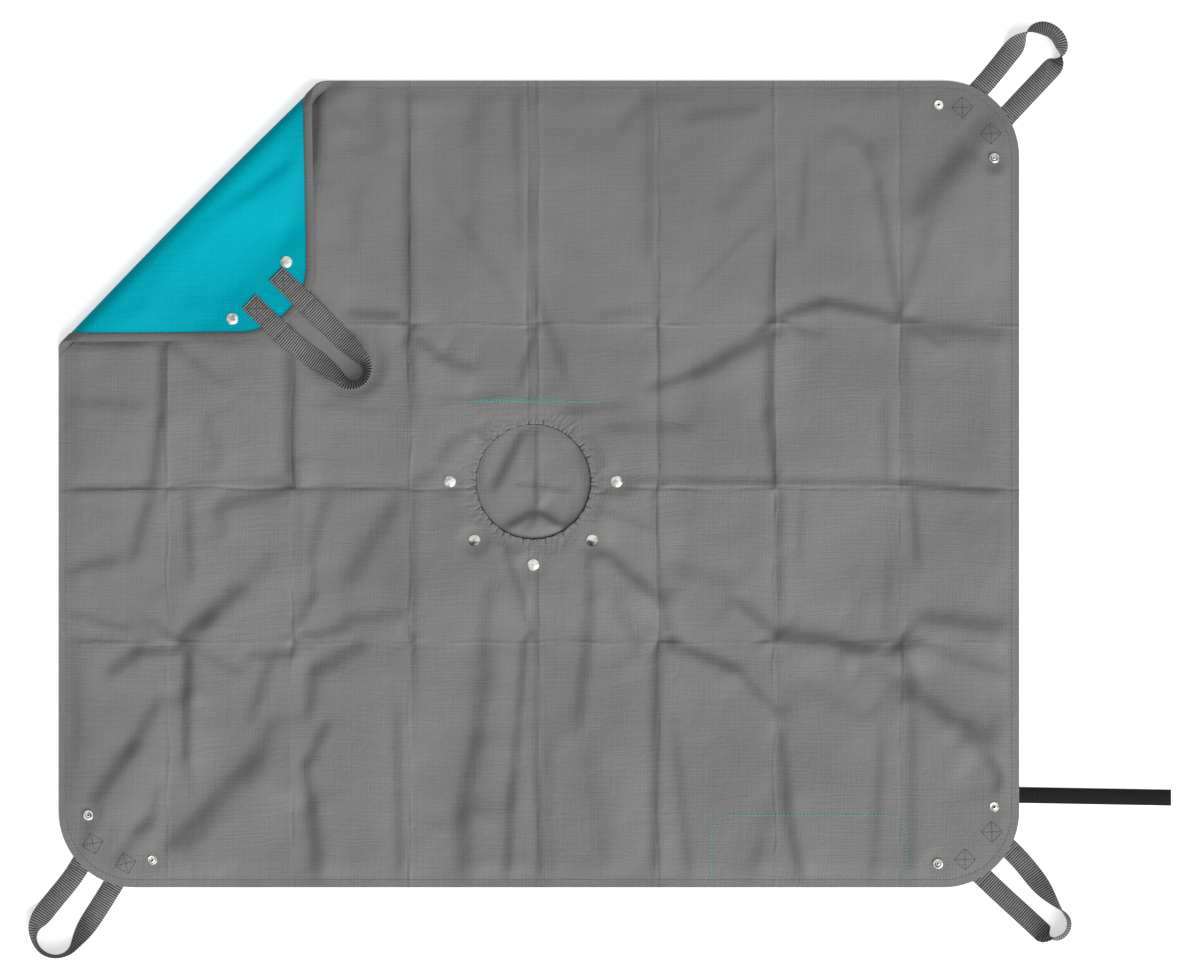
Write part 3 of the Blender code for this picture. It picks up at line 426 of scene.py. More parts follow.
def vector_node(tree, operation, *values):
    sources = dict(enumerate(values))
    return node(tree, "ShaderNodeVectorMath", sources, operation=operation).outputs[0]


def add_share(tree, total, value, share):
    """A total with a share of a value added."""
    return math_node(tree, "ADD", total, math_node(tree, "MULTIPLY", value, share))


def noise_node(tree, place, scale, detail, **values):
    sources = {"Vector": place, "Scale": scale, "Detail": detail}
    return node(tree, "ShaderNodeTexNoise", sources, **values)


def ranged(tree, value, low, high, at_low=0.0, at_high=1.0):
    """A value taken from one range to another, and kept inside it."""
    sources = {0: value, 1: low, 2: high, 3: at_low, 4: at_high}
    return node(tree, "ShaderNodeMapRange", sources).outputs[0]


def mixed_colour(tree, share, first, second):
    sources = {0: share, 6: first, 7: second}
    return node(tree, "ShaderNodeMix", sources, data_type="RGBA").outputs[2]


def bumped(tree, height, strength, distance, normal=None):
    """A normal with a height's bumps on it."""
    sources = {"Height": height, "Strength": strength, "Distance": distance}
    if normal:
        sources["Normal"] = normal
    return node(tree, "ShaderNodeBump", sources).outputs[0]


def ribs_along(tree, place, pitch):
    """Rounded ribs at a pitch, from 0 between them to 1 on top."""
    angle = math_node(tree, "MULTIPLY", place, math.pi / pitch)
    return math_node(tree, "ABSOLUTE", math_node(tree, "SINE", angle))


def woven_tape_group():
    """Flat tapes woven over and under: a height and a mask of the gaps between them."""
    tree, place, outputs = new_group("woven_tape", ("Height", "Gap"))
    parts = node(tree, "ShaderNodeSeparateXYZ", {0: place})
    waves = []
    for axis in ("X", "Y"):
        angle = math_node(tree, "MULTIPLY", parts.outputs[axis], math.pi / WEAVE_PITCH)
        waves.append(math_node(tree, "SINE", angle))
    warp, weft = (math_node(tree, "ABSOLUTE", wave) for wave in waves)
    over = math_node(tree, "MULTIPLY", *waves)
    over = math_node(tree, "ADD", math_node(tree, "MULTIPLY", over, WEAVE_SHARPNESS), 0.5)
    chooser = node(tree, "ShaderNodeClamp", {0: over}).outputs[0]
    top = node(tree, "ShaderNodeMix", {0: chooser, 2: warp, 3: weft}, data_type="FLOAT")
    raised = math_node(tree, "POWER", top.outputs[0], 0.5)
    gap = math_node(tree, "LESS_THAN", math_node(tree, "MINIMUM", warp, weft), WEAVE_GAP)
    feed(tree, outputs, {"Height": raised, "Gap": gap})
    return tree


def crinkle_group():
    """Facets left by handling, straight streaks along the tapes and a slow change of shade."""
    tree, place, outputs = new_group("crinkle", ("Height", "Shade"))
    slow = noise_node(tree, place, 5.0, 4.0)
    bent = vector_node(tree, "MULTIPLY", slow.outputs["Color"], (FACET_BEND,) * 3)
    moved = vector_node(tree, "ADD", place, bent)
    cells = node(
        tree, "ShaderNodeTexVoronoi", {"Vector": moved, "Scale": FACET_SCALE},
        feature="DISTANCE_TO_EDGE",
    )
    ridge = math_node(tree, "MINIMUM", cells.outputs["Distance"], 0.1)
    height = math_node(tree, "MULTIPLY", ridge, FACET_SHARE)
    for stretch in STREAK_STRETCHES:
        streak = noise_node(tree, vector_node(tree, "MULTIPLY", moved, stretch), 1.0, 2.0)
        height = add_share(tree, height, streak.outputs["Fac"], STREAK_SHARE)
    for scale, detail, share in GRAIN_LAYERS:
        grain = noise_node(tree, place, scale, detail)
        height = add_share(tree, height, grain.outputs["Fac"], share)
    sharp = noise_node(tree, moved, 11.0, 4.0, noise_type="RIDGED_MULTIFRACTAL")
    height = add_share(tree, height, sharp.outputs["Fac"], 0.5)
    feed(tree, outputs, {"Height": height, "Shade": slow.outputs["Fac"]})
    return tree


def fine_crease_group():
    """Sharp lines where the sheet was folded for storage, broken up along their length."""
    tree, place, outputs = new_group("fine_creases", ("Height",))
    parts = node(tree, "ShaderNodeSeparateXYZ", {0: place})
    bend = noise_node(tree, place, 11.0, 3.0)
    wobble = math_node(tree, "SUBTRACT", bend.outputs["Fac"], 0.5)
    wobble = math_node(tree, "MULTIPLY", wobble, LINE_WOBBLE)
    worn = ranged(tree, noise_node(tree, place, 16.0, 2.0).outputs["Fac"], 0.38, 0.62, 0.1)
    lines = [("X", by_pixel(c, 0).x + MIDDLE.x, rise) for c, rise, _ in CREASE_COLUMNS]
    lines += [("Y", by_pixel(0, r).y + MIDDLE.y, rise) for r, rise, _ in CREASE_ROWS]
    total = 0.0
    for axis, at, rise in lines:
        off = math_node(tree, "SUBTRACT", parts.outputs[axis], at)
        off = math_node(tree, "ABSOLUTE", math_node(tree, "ADD", off, wobble))
        total = math_node(tree, "ADD", total, ranged(tree, off, 0.0, LINE_REACH, rise, 0.0))
    feed(tree, outputs, {"Height": math_node(tree, "MULTIPLY", total, worn)})
    return tree


def new_material(name):
    """A material with its tree, its shader and the place that its textures go by."""
    material = bpy.data.materials.new(name)
    material.use_nodes = True
    tree = material.node_tree
    place = node(tree, "ShaderNodeTexCoord").outputs["Object"]
    return material, tree, tree.nodes["Principled BSDF"], place


def tarpaulin(name, dark, light, roughness, gloss, stored=False):
    """Woven tarpaulin with a satin film over it. A stored one shows the lines of its creases."""
    material, tree, shader, place = new_material(name)
    weave = node(tree, "ShaderNodeGroup", {"Place": place}, node_tree=WOVEN_TAPE)
    crinkle = node(tree, "ShaderNodeGroup", {"Place": place}, node_tree=CRINKLE)
    shade = crinkle.outputs["Shade"]
    colour = mixed_colour(tree, ranged(tree, shade, 0.3, 0.7), dark, light)
    # Painted shade: the colour darkens in the gaps of the weave and by the painted fold shade
    painted_shade_amount = node(tree, "ShaderNodeAttribute", attribute_name="painted_fold_shade").outputs["Fac"]
    painted_shade_share = math_node(tree, "MULTIPLY", weave.outputs["Gap"], WEAVE_GAP_PAINTED_SHADE)
    painted_shade_share = add_share(tree, painted_shade_share, painted_shade_amount, FOLD_PAINTED_SHADE)
    rough = math_node(tree, "MULTIPLY", shade, ROUGH_RANGE)
    rough = math_node(tree, "ADD", rough, roughness - ROUGH_RANGE / 2)
    rows = node(tree, "ShaderNodeSeparateXYZ", {0: place}).outputs["Y"]
    worn = ranged(tree, rows, *CRINKLE_ROWS, *CRINKLE_STRENGTHS)
    normal = bumped(tree, crinkle.outputs["Height"], worn, 0.9 * MM)
    if stored:
        lines = node(tree, "ShaderNodeGroup", {"Place": place}, node_tree=FINE_CREASES)
        normal = bumped(tree, lines.outputs["Height"], 1.0, 0.8 * MM, normal)
    normal = bumped(tree, weave.outputs["Height"], 0.8, 0.14 * MM, normal)
    feed(tree, shader, {
        "Base Color": mixed_colour(tree, painted_shade_share, colour, [c * 0.1 for c in dark]),
        "Roughness": rough, "Specular IOR Level": gloss, "Normal": normal,
    })
    return material


def ribbed_webbing(name, dark, light, pitch):
    """Webbing with ribs across its length, on a UV map in metres."""
    material, tree, shader, place = new_material(name)
    strip = node(tree, "ShaderNodeUVMap", uv_map="strip").outputs[0]
    parts = node(tree, "ShaderNodeSeparateXYZ", {0: strip})
    ribs = ribs_along(tree, parts.outputs["X"], pitch)
    height = add_share(tree, ribs, ribs_along(tree, parts.outputs["Y"], THREAD_PITCH), 0.25)
    height = add_share(tree, height, noise_node(tree, place, 260.0, 2.0).outputs["Fac"], 0.3)
    # Painted shade: the colour darkens down between the ribs, and varies a little at random
    feed(tree, shader, {
        "Base Color": mixed_colour(tree, ranged(tree, height, 0.58, 1.5), dark, light),
        "Roughness": 0.82, "Specular IOR Level": 0.15,
        "Normal": bumped(tree, height, 0.8, 0.5 * MM),
    })
    return material


def plated_metal(name, dark, light):
    """Nickel plate with small marks from the press."""
    material, tree, shader, place = new_material(name)
    marks = noise_node(tree, place, 420.0, 5.0).outputs["Fac"]
    tarnish = ranged(tree, noise_node(tree, place, 150.0, 3.0).outputs["Fac"], 0.36, 0.56)
    feed(tree, shader, {
        "Base Color": mixed_colour(tree, tarnish, dark, light),
        "Roughness": ranged(tree, marks, 0.3, 0.7, 0.24, 0.4), "Metallic": 1,
        "Normal": bumped(tree, marks, 0.2, 0.1 * MM),
    })
    return material


def sewing_thread(name, colour):
    material, tree, shader, place = new_material(name)
    twist = noise_node(tree, place, 900.0, 2.0).outputs["Fac"]
    feed(tree, shader, {
        "Base Color": mixed_colour(tree, twist, [c * 0.6 for c in colour], colour),
        "Roughness": 0.6, "Normal": bumped(tree, twist, 0.4, 0.2 * MM),
    })
    return material


# Shapes of the laid cloth

def fold_heights(x, y, folds):
    """Soft folds: a height, steep in the middle and slow to ease back, and how deep in a fold."""
    height = np.zeros(len(x))
    inside = np.zeros(len(x))
    for column_a, row_a, column_b, row_b, half_width, steepness in folds:
        start = by_pixel(column_a, row_a)
        end = by_pixel(column_b, row_b)
        way = (end - start).normalized()
        across = Vector((-way.y, way.x))
        if across.dot(LIGHT_WAY) < 0:
            across = -across
        width = FOLD_WIDTH_SHARE * half_width * PIXEL
        along = ((x - start.x) * way.x + (y - start.y) * way.y) / (end - start).length
        off = (x - start.x) * across.x + (y - start.y) * across.y
        ends = smooth_step((along + 0.15) / 0.3) * smooth_step((1.15 - along) / 0.3)
        steep = steepness * min(FOLD_GAIN, 1 / max(across.dot(LIGHT_WAY), 0.01))
        wide = bell(off, FOLD_SPREAD * width)
        height += steep * width * np.tanh(off / width) * wide * ends
        inside += max(steepness, 0) * bell(off, 1.2 * width) * ends
    return height, inside


def crease_wear(along, long_wave, short_wave, turn):
    """How strong a storage crease still is along its length. The waves are in millimetres."""
    waves = np.sin(along / (long_wave * MM) + turn[0]) * np.sin(along / (short_wave * MM) + turn[1])
    return 0.75 + 0.45 * waves


def crease_heights(x, y):
    """Storage creases. They change from ridge to valley at each crossing, as a map's do."""
    middle = by_pixel(0, CREASE_ROWS[1][0]).y
    flip = np.tanh((y - middle) / (8 * MM))
    height = np.zeros(len(x))
    for index, (column, rise, half_width) in enumerate(CREASE_COLUMNS):
        off = np.abs(x - by_pixel(column, 0).x)
        wear = crease_wear(y, 47, 29, (2.6 * index, index))
        height += rise * MM * np.exp(-off / (half_width * MM)) * flip * wear
    for index, (row, rise, half_width) in enumerate(CREASE_ROWS):
        off = np.abs(y - by_pixel(0, row).y)
        turns = 1 if index == 1 else np.sin(math.pi * x / (300 * MM) + 0.4)
        wear = crease_wear(x, 41, 23, (1.9 * index, index))
        height += rise * MM * np.exp(-off / (half_width * MM)) * turns * wear
    return height


def gather_heights(x, y):
    """Tucks that the elastic sends out into the sheet round the opening."""
    radius = np.hypot(x - OPENING.x, y - OPENING.y)
    angle = np.arctan2(y - OPENING.y, x - OPENING.x)
    bent = angle + 0.22 * np.sin(5 * angle + 1) + 0.1 * np.sin(radius / (9 * MM) + 3 * angle)
    tucks = np.sin(23 * bent) * (0.6 + 0.4 * np.sin(7 * angle + 2)) + 0.6 * np.sin(37 * bent + 1)
    spread = np.exp(-np.maximum(radius - GATHER_RADIUS, 0) / (15 * MM + 9 * MM * np.sin(3 * angle)))
    rising = eased(radius, OPENING_RADIUS, 12 * MM)
    return GATHER_HEIGHT * tucks * spread * rising * snap_share(x, y)


def pinch_heights(x, y):
    """Short tucks that run out from pinched crossings."""
    height = np.zeros(len(x))
    for index, (column, row, reach, steepness) in enumerate(PINCHES):
        middle = by_pixel(column, row)
        for i in range(6):
            way = math.radians(60 * i + 23 * math.sin(2.1 * index + 1.7 * i))
            length = reach * PIXEL * (0.7 + 0.35 * math.sin(3.3 * i + index))
            across = Vector((-math.sin(way), math.cos(way)))
            if across.dot(LIGHT_WAY) < 0:
                across = -across
            along = (x - middle.x) * math.cos(way) + (y - middle.y) * math.sin(way)
            off = (x - middle.x) * across.x + (y - middle.y) * across.y
            width = 4.4 * MM + 0.12 * np.maximum(along, 0)
            inside = smooth_step((along + 3 * MM) / (6 * MM)) * smooth_step(1.5 - along / length)
            sign = 1 if math.sin(5.3 * i + 2.9 * index) > -0.5 else -0.7
            height += sign * steepness * off * bell(off, width) * inside
    return height


def pillow_heights(x, y):
    """A low pillow in each field between the storage creases, up and down by turns."""
    columns = [by_pixel(c, 0).x for c in (60, 168, 292, 411, 533, 657, 775, 899, 1017)]
    rows = [by_pixel(0, r).y for r in (887, 643, 488, 325, 82)]
    places = []
    for value, lines in ((x, columns), (y, rows)):
        index = np.clip(np.searchsorted(lines, value) - 1, 0, len(lines) - 2)
        low = np.array(lines)[index]
        high = np.array(lines)[index + 1]
        places.append((index, np.clip((value - low) / (high - low), 0, 1)))
    (column, u), (row, v) = places
    sign = np.where((column + row) % 2 == 0, 1.0, -0.5)
    return PILLOW * sign * np.sin(math.pi * u) * np.sin(math.pi * v)


def slow_heights(x, y, size, rise, seed):
    """Slow unevenness of the cloth."""
    return np.array(
        [rise * noise.fractal((a / size, b / size, seed), 0.9, 2.1, 3) for a, b in zip(x, y)]
    )


def raised_share(distance):
    return 1 - eased(np.abs(distance), RAISED_HALF, RAISED_RAMP)


def edge_distance(x, y):
    """Distance inwards from the sheet's outline."""
    reach_x = SHEET_LENGTH / 2 - CORNER_RADIUS
    reach_y = SHEET_WIDTH / 2 - CORNER_RADIUS
    out_x = np.maximum(np.abs(x) - reach_x, 0)
    out_y = np.maximum(np.abs(y) - reach_y, 0)
    straight = np.minimum(SHEET_LENGTH / 2 - np.abs(x), SHEET_WIDTH / 2 - np.abs(y))
    in_corner = (out_x > 0) & (out_y > 0)
    return np.where(in_corner, CORNER_RADIUS - np.hypot(out_x, out_y), straight)


def capsule_distance(x, y, start, end):
    way = end - start
    along = ((x - start.x) * way.x + (y - start.y) * way.y) / way.length_squared
    along = np.clip(along, 0, 1)
    return np.hypot(x - start.x - along * way.x, y - start.y - along * way.y)


def snap_share(x, y):
    """0 at each press stud of the laid sheet, rising to 1 round it."""
    free = np.ones(len(x))
    for place in snap_places():
        off = np.hypot(x - place.x, y - place.y)
        free = free * eased(off, *STUD_HOLD)
    return free


def free_share(x, y):
    """1 where the cloth is free to crease, 0 where something is fixed to it or lies on it."""
    free = eased(edge_distance(x, y), *EDGE_HOLD) * snap_share(x, y)
    from_opening = np.hypot(x - OPENING.x, y - OPENING.y) - OPENING_RADIUS
    free = free * eased(from_opening, *OPENING_HOLD)
    free = free * (1 - 0.65 * over_sewn_ends(x, y))
    loop = capsule_distance(x, y, by_pixel(270, 290), by_pixel(350, 362))
    free = free * eased(loop, *LOOP_HOLD)
    panel = np.maximum(x - by_pixel(309, 0).x, by_pixel(0, 340).y - y)
    return free * (0.12 + 0.88 * smooth_step(panel / (9 * MM)))


def over_sewn_ends(x, y):
    """1 where the laid sheet lies on a sewn end of a handle, falling to 0 beside it."""
    over = np.zeros(len(x))
    for corner in LAID_CORNERS:
        frame = HandleFrame(corner)
        for side in (1, -1):
            start = frame.flat(frame.sewn_tip, side * STRAND_SPACING / 2)
            end = frame.flat(frame.pivot, side * STRAND_SPACING / 2)
            off = capsule_distance(x, y, start, end)
            over = np.maximum(over, 1 - eased(off, *SEWN_HOLD))
    return over


def snap_places():
    places = []
    for bearing in CENTRE_SNAP_BEARINGS.values():
        places.append(centre_snap_place(bearing))
    for corner in LAID_CORNERS:
        for mate in ("stud", "socket"):
            places.append(corner_snap_place(corner, mate))
    return places


def sheet_level(x, y):
    """Height of the middle of the laid sheet."""
    x = np.atleast_1d(np.asarray(x, float))
    y = np.atleast_1d(np.asarray(y, float))
    raised = raised_share(x - OPENING.x) * raised_share(y - OPENING.y)
    level = EDGE_LEVEL + (CENTRE_LEVEL - EDGE_LEVEL) * raised
    loose = LOOSE_LIFT + crease_heights(x, y) + pillow_heights(x, y) + pinch_heights(x, y)
    loose += fold_heights(x, y, FOLDS)[0] + slow_heights(x, y, 100 * MM, 1.8 * MM, 3)
    loose = np.maximum(loose * free_share(x, y), -LOWEST_DIP * (1 - over_sewn_ends(x, y)))
    level = level + loose + gather_heights(x, y)
    stitched = np.abs(edge_distance(x, y) - HEM_WIDTH + HEM_SEAM_INSET)
    level -= 0.35 * MM * bell(stitched, 2 * MM)
    return above_floor(level)


def above_floor(level):
    """Keeps cloth off the floor, with a soft start."""
    lowest = SHEET_THICKNESS / 2 + FLOOR_CLEARANCE
    soft = 0.5 * MM
    return lowest + soft * np.logaddexp(0, (level - lowest) / soft)


def panel_level(inward):
    fall = smooth_step(inward / PANEL_FALL)
    high = EDGE_LEVEL + 2 * FOLD_RADIUS
    return PANEL_LOW + (high - PANEL_LOW) * (1 - fall)


def turned(x, y, depth):
    """Where a point of the flat sheet goes once its corner is turned over."""
    past = x * FOLD_OUT.x + y * FOLD_OUT.y - FOLD_DISTANCE
    angle = np.clip(past / FOLD_RADIUS, 0, math.pi)
    radius = FOLD_RADIUS - depth
    in_roll = past < FOLD_GIRTH
    inward = np.maximum(past - FOLD_GIRTH, 0)
    shift = np.where(in_roll, radius * np.sin(angle) - np.maximum(past, 0), -past - inward)
    high = EDGE_LEVEL + FOLD_RADIUS - radius * np.cos(angle)
    level = np.where(in_roll, high, panel_level(inward) - depth)
    along = (x - FOLD_START.x) * FOLD_OUT.y - (y - FOLD_START.y) * FOLD_OUT.x
    along = np.clip(along / (FOLD_END - FOLD_START).length, 0, 1)
    shift = shift + FOLD_BOW * np.sin(math.pi * along) * np.sin(angle)
    new_x = x + FOLD_OUT.x * shift
    new_y = y + FOLD_OUT.y * shift
    share = smooth_step(past / FOLD_GIRTH)
    aside = PANEL_SLIP.x + PANEL_SKEW * (SHEET_WIDTH / 2 - new_y)
    down = PANEL_SLIP.y - PANEL_SKEW * (FOLD_END.x - new_x)
    return new_x + share * aside, new_y + share * down, level


# Cutting cloth

def cloth_grid(cell, half_x, half_y, turn=0.0, centre=(0, 0)):
    """A flat grid of cells, turned and placed."""
    bm = bmesh.new()
    matrix = Matrix.Translation((*centre, 0)) @ Matrix.Rotation(turn, 4, "Z")
    bmesh.ops.create_grid(
        bm,
        x_segments=round(2 * half_x / cell),
        y_segments=round(2 * half_y / cell),
        size=1,
        matrix=matrix @ Matrix.Diagonal((half_x, half_y, 1, 1)),
    )
    return bm


def cut(bm, point, normal, faces=None, drop=False):
    """Cuts the cloth along a line. With drop, what lies on the normal's side goes."""
    faces = bm.faces[:] if faces is None else [f for f in faces if f.is_valid]
    geom = set(faces)
    for face in faces:
        geom.update(face.edges)
        geom.update(face.verts)
    made = bmesh.ops.bisect_plane(
        bm,
        geom=list(geom),
        dist=1e-6,
        plane_co=(*point, 0),
        plane_no=(*normal, 0),
        clear_outer=drop,
    )
    return {g for g in made["geom"] if isinstance(g, bmesh.types.BMFace) and g.is_valid}


def trim_to_outline(bm, corners):
    """Trims the cloth to the sheet's edge, with the named corners rounded."""
    for sign in (1, -1):
        cut(bm, (sign * SHEET_LENGTH / 2, 0), (sign, 0), drop=True)
        cut(bm, (0, sign * SHEET_WIDTH / 2), (0, sign), drop=True)
    for corner in corners:
        side = Vector(CORNER_SIDES[corner])
        centre = corner_centre(corner)
        near = set()
        for face in bm.faces:
            off = (face.calc_center_median().to_2d() - centre) * side
            if min(off) > -CUT_BAND:
                near.add(face)
        for i in range(CORNER_STEPS):
            angle = math.radians(90 * (i + 0.5) / CORNER_STEPS)
            normal = Vector((side.x * math.cos(angle), side.y * math.sin(angle)))
            reach = CORNER_RADIUS * math.cos(math.radians(45 / CORNER_STEPS))
            near = cut(bm, centre + normal * reach, normal, faces=near, drop=True)


def cut_round_hole(bm, centre, radius, steps):
    """Cuts a round opening in the cloth."""
    ring = set()
    for face in bm.faces:
        off = face.calc_center_median().to_2d() - centre
        if abs(off.length - radius) < CUT_BAND:
            ring.add(face)
    for i in range(steps):
        normal = heading(2 * math.pi * i / steps)
        near = []
        for face in ring:
            off = face.calc_center_median().to_2d() - centre
            if off.angle(normal) < 1.7 * math.pi / steps:
                near.append(face)
        made = cut(bm, centre + normal * radius, normal, faces=near)
        ring = {f for f in ring if f.is_valid} | made
    inner = [
        f for f in bm.faces if (f.calc_center_median().to_2d() - centre).length < radius * 0.9985
    ]
    bmesh.ops.delete(bm, geom=inner, context="FACES")


def corner_centre(corner):
    side = CORNER_SIDES[corner]
    x = side[0] * (SHEET_LENGTH / 2 - CORNER_RADIUS)
    y = side[1] * (SHEET_WIDTH / 2 - CORNER_RADIUS)
    return Vector((x, y))


def corner_snap_place(corner, mate):
    side = CORNER_SIDES[corner]
    shares = CORNER_SNAP_SHARES[corner][mate]
    x = side[0] * (SHEET_LENGTH / 2 - shares[0] * CORNER_RADIUS)
    y = side[1] * (SHEET_WIDTH / 2 - shares[1] * CORNER_RADIUS)
    return Vector((x, y))


def centre_snap_place(bearing):
    return OPENING + SNAP_CIRCLE_RADIUS * heading(math.radians(bearing))


def flat_area(bm):
    return sum(face.calc_area() for face in bm.faces)


def set_points(mesh, x, y, z):
    """Moves every point, from sheet places to the frame of the solids."""
    points = np.column_stack([x + MIDDLE.x, y + MIDDLE.y, z + MIDDLE.z])
    mesh.vertices.foreach_set("co", points.astype(np.float32).ravel())
    mesh.update()


def get_points(mesh):
    points = np.zeros(len(mesh.vertices) * 3)
    mesh.vertices.foreach_get("co", points)
    return points.reshape(-1, 3).T


def new_piece(name, bm, materials, smooth=True):
    """An object of its own from a bmesh."""
    mesh = bpy.data.meshes.new(name)
    bm.to_mesh(mesh)
    bm.free()
    for material in materials:
        mesh.materials.append(material)
    if smooth:
        mesh.shade_smooth()
    piece = bpy.data.objects.new(name, mesh)
    bpy.context.scene.collection.objects.link(piece)
    return piece


def give_thickness(piece, thickness, back_material=0):
    """Gives a cloth its two faces, with crisp edges between them."""
    solid = piece.modifiers.new("thickness", "SOLIDIFY")
    solid.thickness = thickness
    solid.offset = 0
    solid.material_offset = back_material
    solid.material_offset_rim = 0
    finished = bpy.data.meshes.new_from_object(
        piece.evaluated_get(bpy.context.evaluated_depsgraph_get())
    )
    piece.modifiers.clear()
    piece.data = finished
    finished.set_sharp_from_angle(angle=CRISP_ANGLE)


class HandleFrame:
    """Axes of one handle: out along the strands, across them, and its main distances."""

    def __init__(self, corner):
        self.centre = corner_centre(corner)
        bearing = math.radians(HANDLES[corner]["bearing"])
        self.out = heading(bearing)
        self.across = Vector((-self.out.y, self.out.x))
        chord = math.sqrt(CORNER_RADIUS**2 - (STRAND_SPACING / 2) ** 2)
        near_side = (STRAND_SPACING - WEBBING_WIDTH) / 2
        self.sewn_tip = chord - SEWN_REACH
        self.edge = chord
        self.pivot = math.sqrt(CORNER_RADIUS**2 - near_side**2) + PIVOT_TO_EDGE
        self.far_end = chord + HANDLES[corner]["reach"]

    def flat(self, out, across):
        return self.centre + self.out * out + self.across * across


# Pieces

def keep_painted_fold_shade(piece, x, y, folds, painted_patches=()):
    """Keeps painted shade at each point: deep in a fold and in painted patches."""
    painted_shade_amount = PAINTED_SHADE_LIMIT * np.tanh(fold_heights(x, y, folds)[1] / PAINTED_SHADE_LIMIT)
    for column_a, row_a, column_b, row_b, half_width, depth in painted_patches:
        off = capsule_distance(x, y, by_pixel(column_a, row_a), by_pixel(column_b, row_b))
        painted_shade_amount += depth * bell(off, half_width * PIXEL)
    layer = piece.data.attributes.new("painted_fold_shade", "FLOAT", "POINT")
    layer.data.foreach_set("value", painted_shade_amount)


def lay(piece):
    """Puts a piece drawn flat on the laid sheet. Its heights count from the sheet's middle."""
    x, y, depth = get_points(piece.data)
    set_points(piece.data, x, y, sheet_level(x, y) + depth)


def turn_over(piece):
    """Puts a piece drawn flat where the corner's turn takes it."""
    x, y, depth = get_points(piece.data)
    new_x, new_y, z = turned(x, y, depth)
    set_points(piece.data, new_x, new_y, z + panel_waves(x, y, new_x, new_y))


def add_main_sheet():
    """The laid sheet, up to the fold, with its round opening."""
    bm = cloth_grid(SHEET_CELL, SHEET_LENGTH / 2, SHEET_WIDTH / 2)
    trim_to_outline(bm, ("right_top", "right_bottom", "left_bottom"))
    cut(bm, FOLD_OUT * FOLD_DISTANCE, FOLD_OUT, drop=True)
    for column, _, _ in CREASE_COLUMNS:
        for aside in STORAGE_CUTS:
            cut(bm, by_pixel(column, 0) + Vector((aside, 0)), (1, 0))
    for row, _, _ in CREASE_ROWS:
        for aside in STORAGE_CUTS:
            cut(bm, by_pixel(0, row) + Vector((0, aside)), (0, 1))
    cut_round_hole(bm, OPENING, RIM_RADIUS, OPENING_STEPS)
    area = flat_area(bm)
    piece = new_piece("sheet_laid", bm, [GREY, TURQUOISE])
    x, y, _ = get_points(piece.data)
    keep_painted_fold_shade(piece, x, y, FOLDS, PAINTED_SHADE_PATCHES)
    lay(piece)
    give_thickness(piece, SHEET_THICKNESS, back_material=1)
    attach(piece, "mat")
    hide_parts("mat_sheet")
    return piece, area


def blend_at_fold(piece):
    """Bakes where a piece is placed into its points; it is attached to no body."""
    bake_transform(piece)


def add_turned_corner():
    """The roll of the fold and the panel that is turned over."""
    made = []
    reach = TURNED_LEG / math.sqrt(2)
    middle = FOLD_MIDDLE + FOLD_OUT * reach / 2
    angle = math.atan2(FOLD_OUT.y, FOLD_OUT.x)
    bm = cloth_grid(PANEL_CELL, reach / 2, reach, turn=angle, centre=middle)
    trim_to_outline(bm, ("left_top",))
    cut(bm, FOLD_OUT * FOLD_DISTANCE, -FOLD_OUT, drop=True)
    for name, keep in (("fold_bend", 1), ("panel_turned", -1)):
        part = bm.copy()
        cut(part, FOLD_OUT * (FOLD_DISTANCE + FOLD_GIRTH), FOLD_OUT * keep, drop=True)
        if keep == 1:
            for i in range(1, FOLD_STEPS):
                cut(part, FOLD_OUT * (FOLD_DISTANCE + FOLD_GIRTH * i / FOLD_STEPS), FOLD_OUT)
        area = flat_area(part)
        # The roll's grey side is in the darker grey: painted shade
        piece = new_piece(name, part, [GREY_PAINTED_SHADE if keep == 1 else GREY, TURQUOISE])
        turn_over(piece)
        give_thickness(piece, SHEET_THICKNESS, back_material=1)
        made.append((piece, area))
    bm.free()
    bend, panel = made[0][0], made[1][0]
    blend_at_fold(bend)
    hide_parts("fold_roll")
    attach(panel, "turned_corner")
    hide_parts("corner_sheet")
    return made


def panel_waves(x, y, new_x, new_y):
    """Soft waves of the turned panel, from places on the flat sheet and where they end up."""
    past = x * FOLD_OUT.x + y * FOLD_OUT.y - FOLD_DISTANCE - FOLD_GIRTH
    held = smooth_step(past / (30 * MM)) * panel_free_share(new_x, new_y)
    held = held * eased(edge_distance(x, y), HEM_WIDTH + 2 * MM, EDGE_HOLD[1])
    loose = fold_heights(new_x, new_y, PANEL_FOLDS)[0]
    return held * (loose + slow_heights(new_x, new_y, 70 * MM, 1.2 * MM, 9))


def panel_free_share(x, y):
    free = np.ones(len(x))
    for mate in ("stud", "socket"):
        place = turned_place(corner_snap_place("left_top", mate))
        off = np.hypot(x - place[0], y - place[1])
        free = free * eased(off, *STUD_HOLD)
    tip = turned_place(corner_centre("left_top"))
    off = np.hypot(x - tip[0], y - tip[1])
    return free * eased(off, *PANEL_TIP_HOLD)


def turned_place(flat):
    x, y, z = turned(np.array([flat.x]), np.array([flat.y]), 0)
    return float(x[0]), float(y[0]), float(z[0])


def placed(flat, level):
    """A point in the frame of the solids, from a place on the sheet and a height."""
    return Vector((flat.x + MIDDLE.x, flat.y + MIDDLE.y, level + MIDDLE.z))


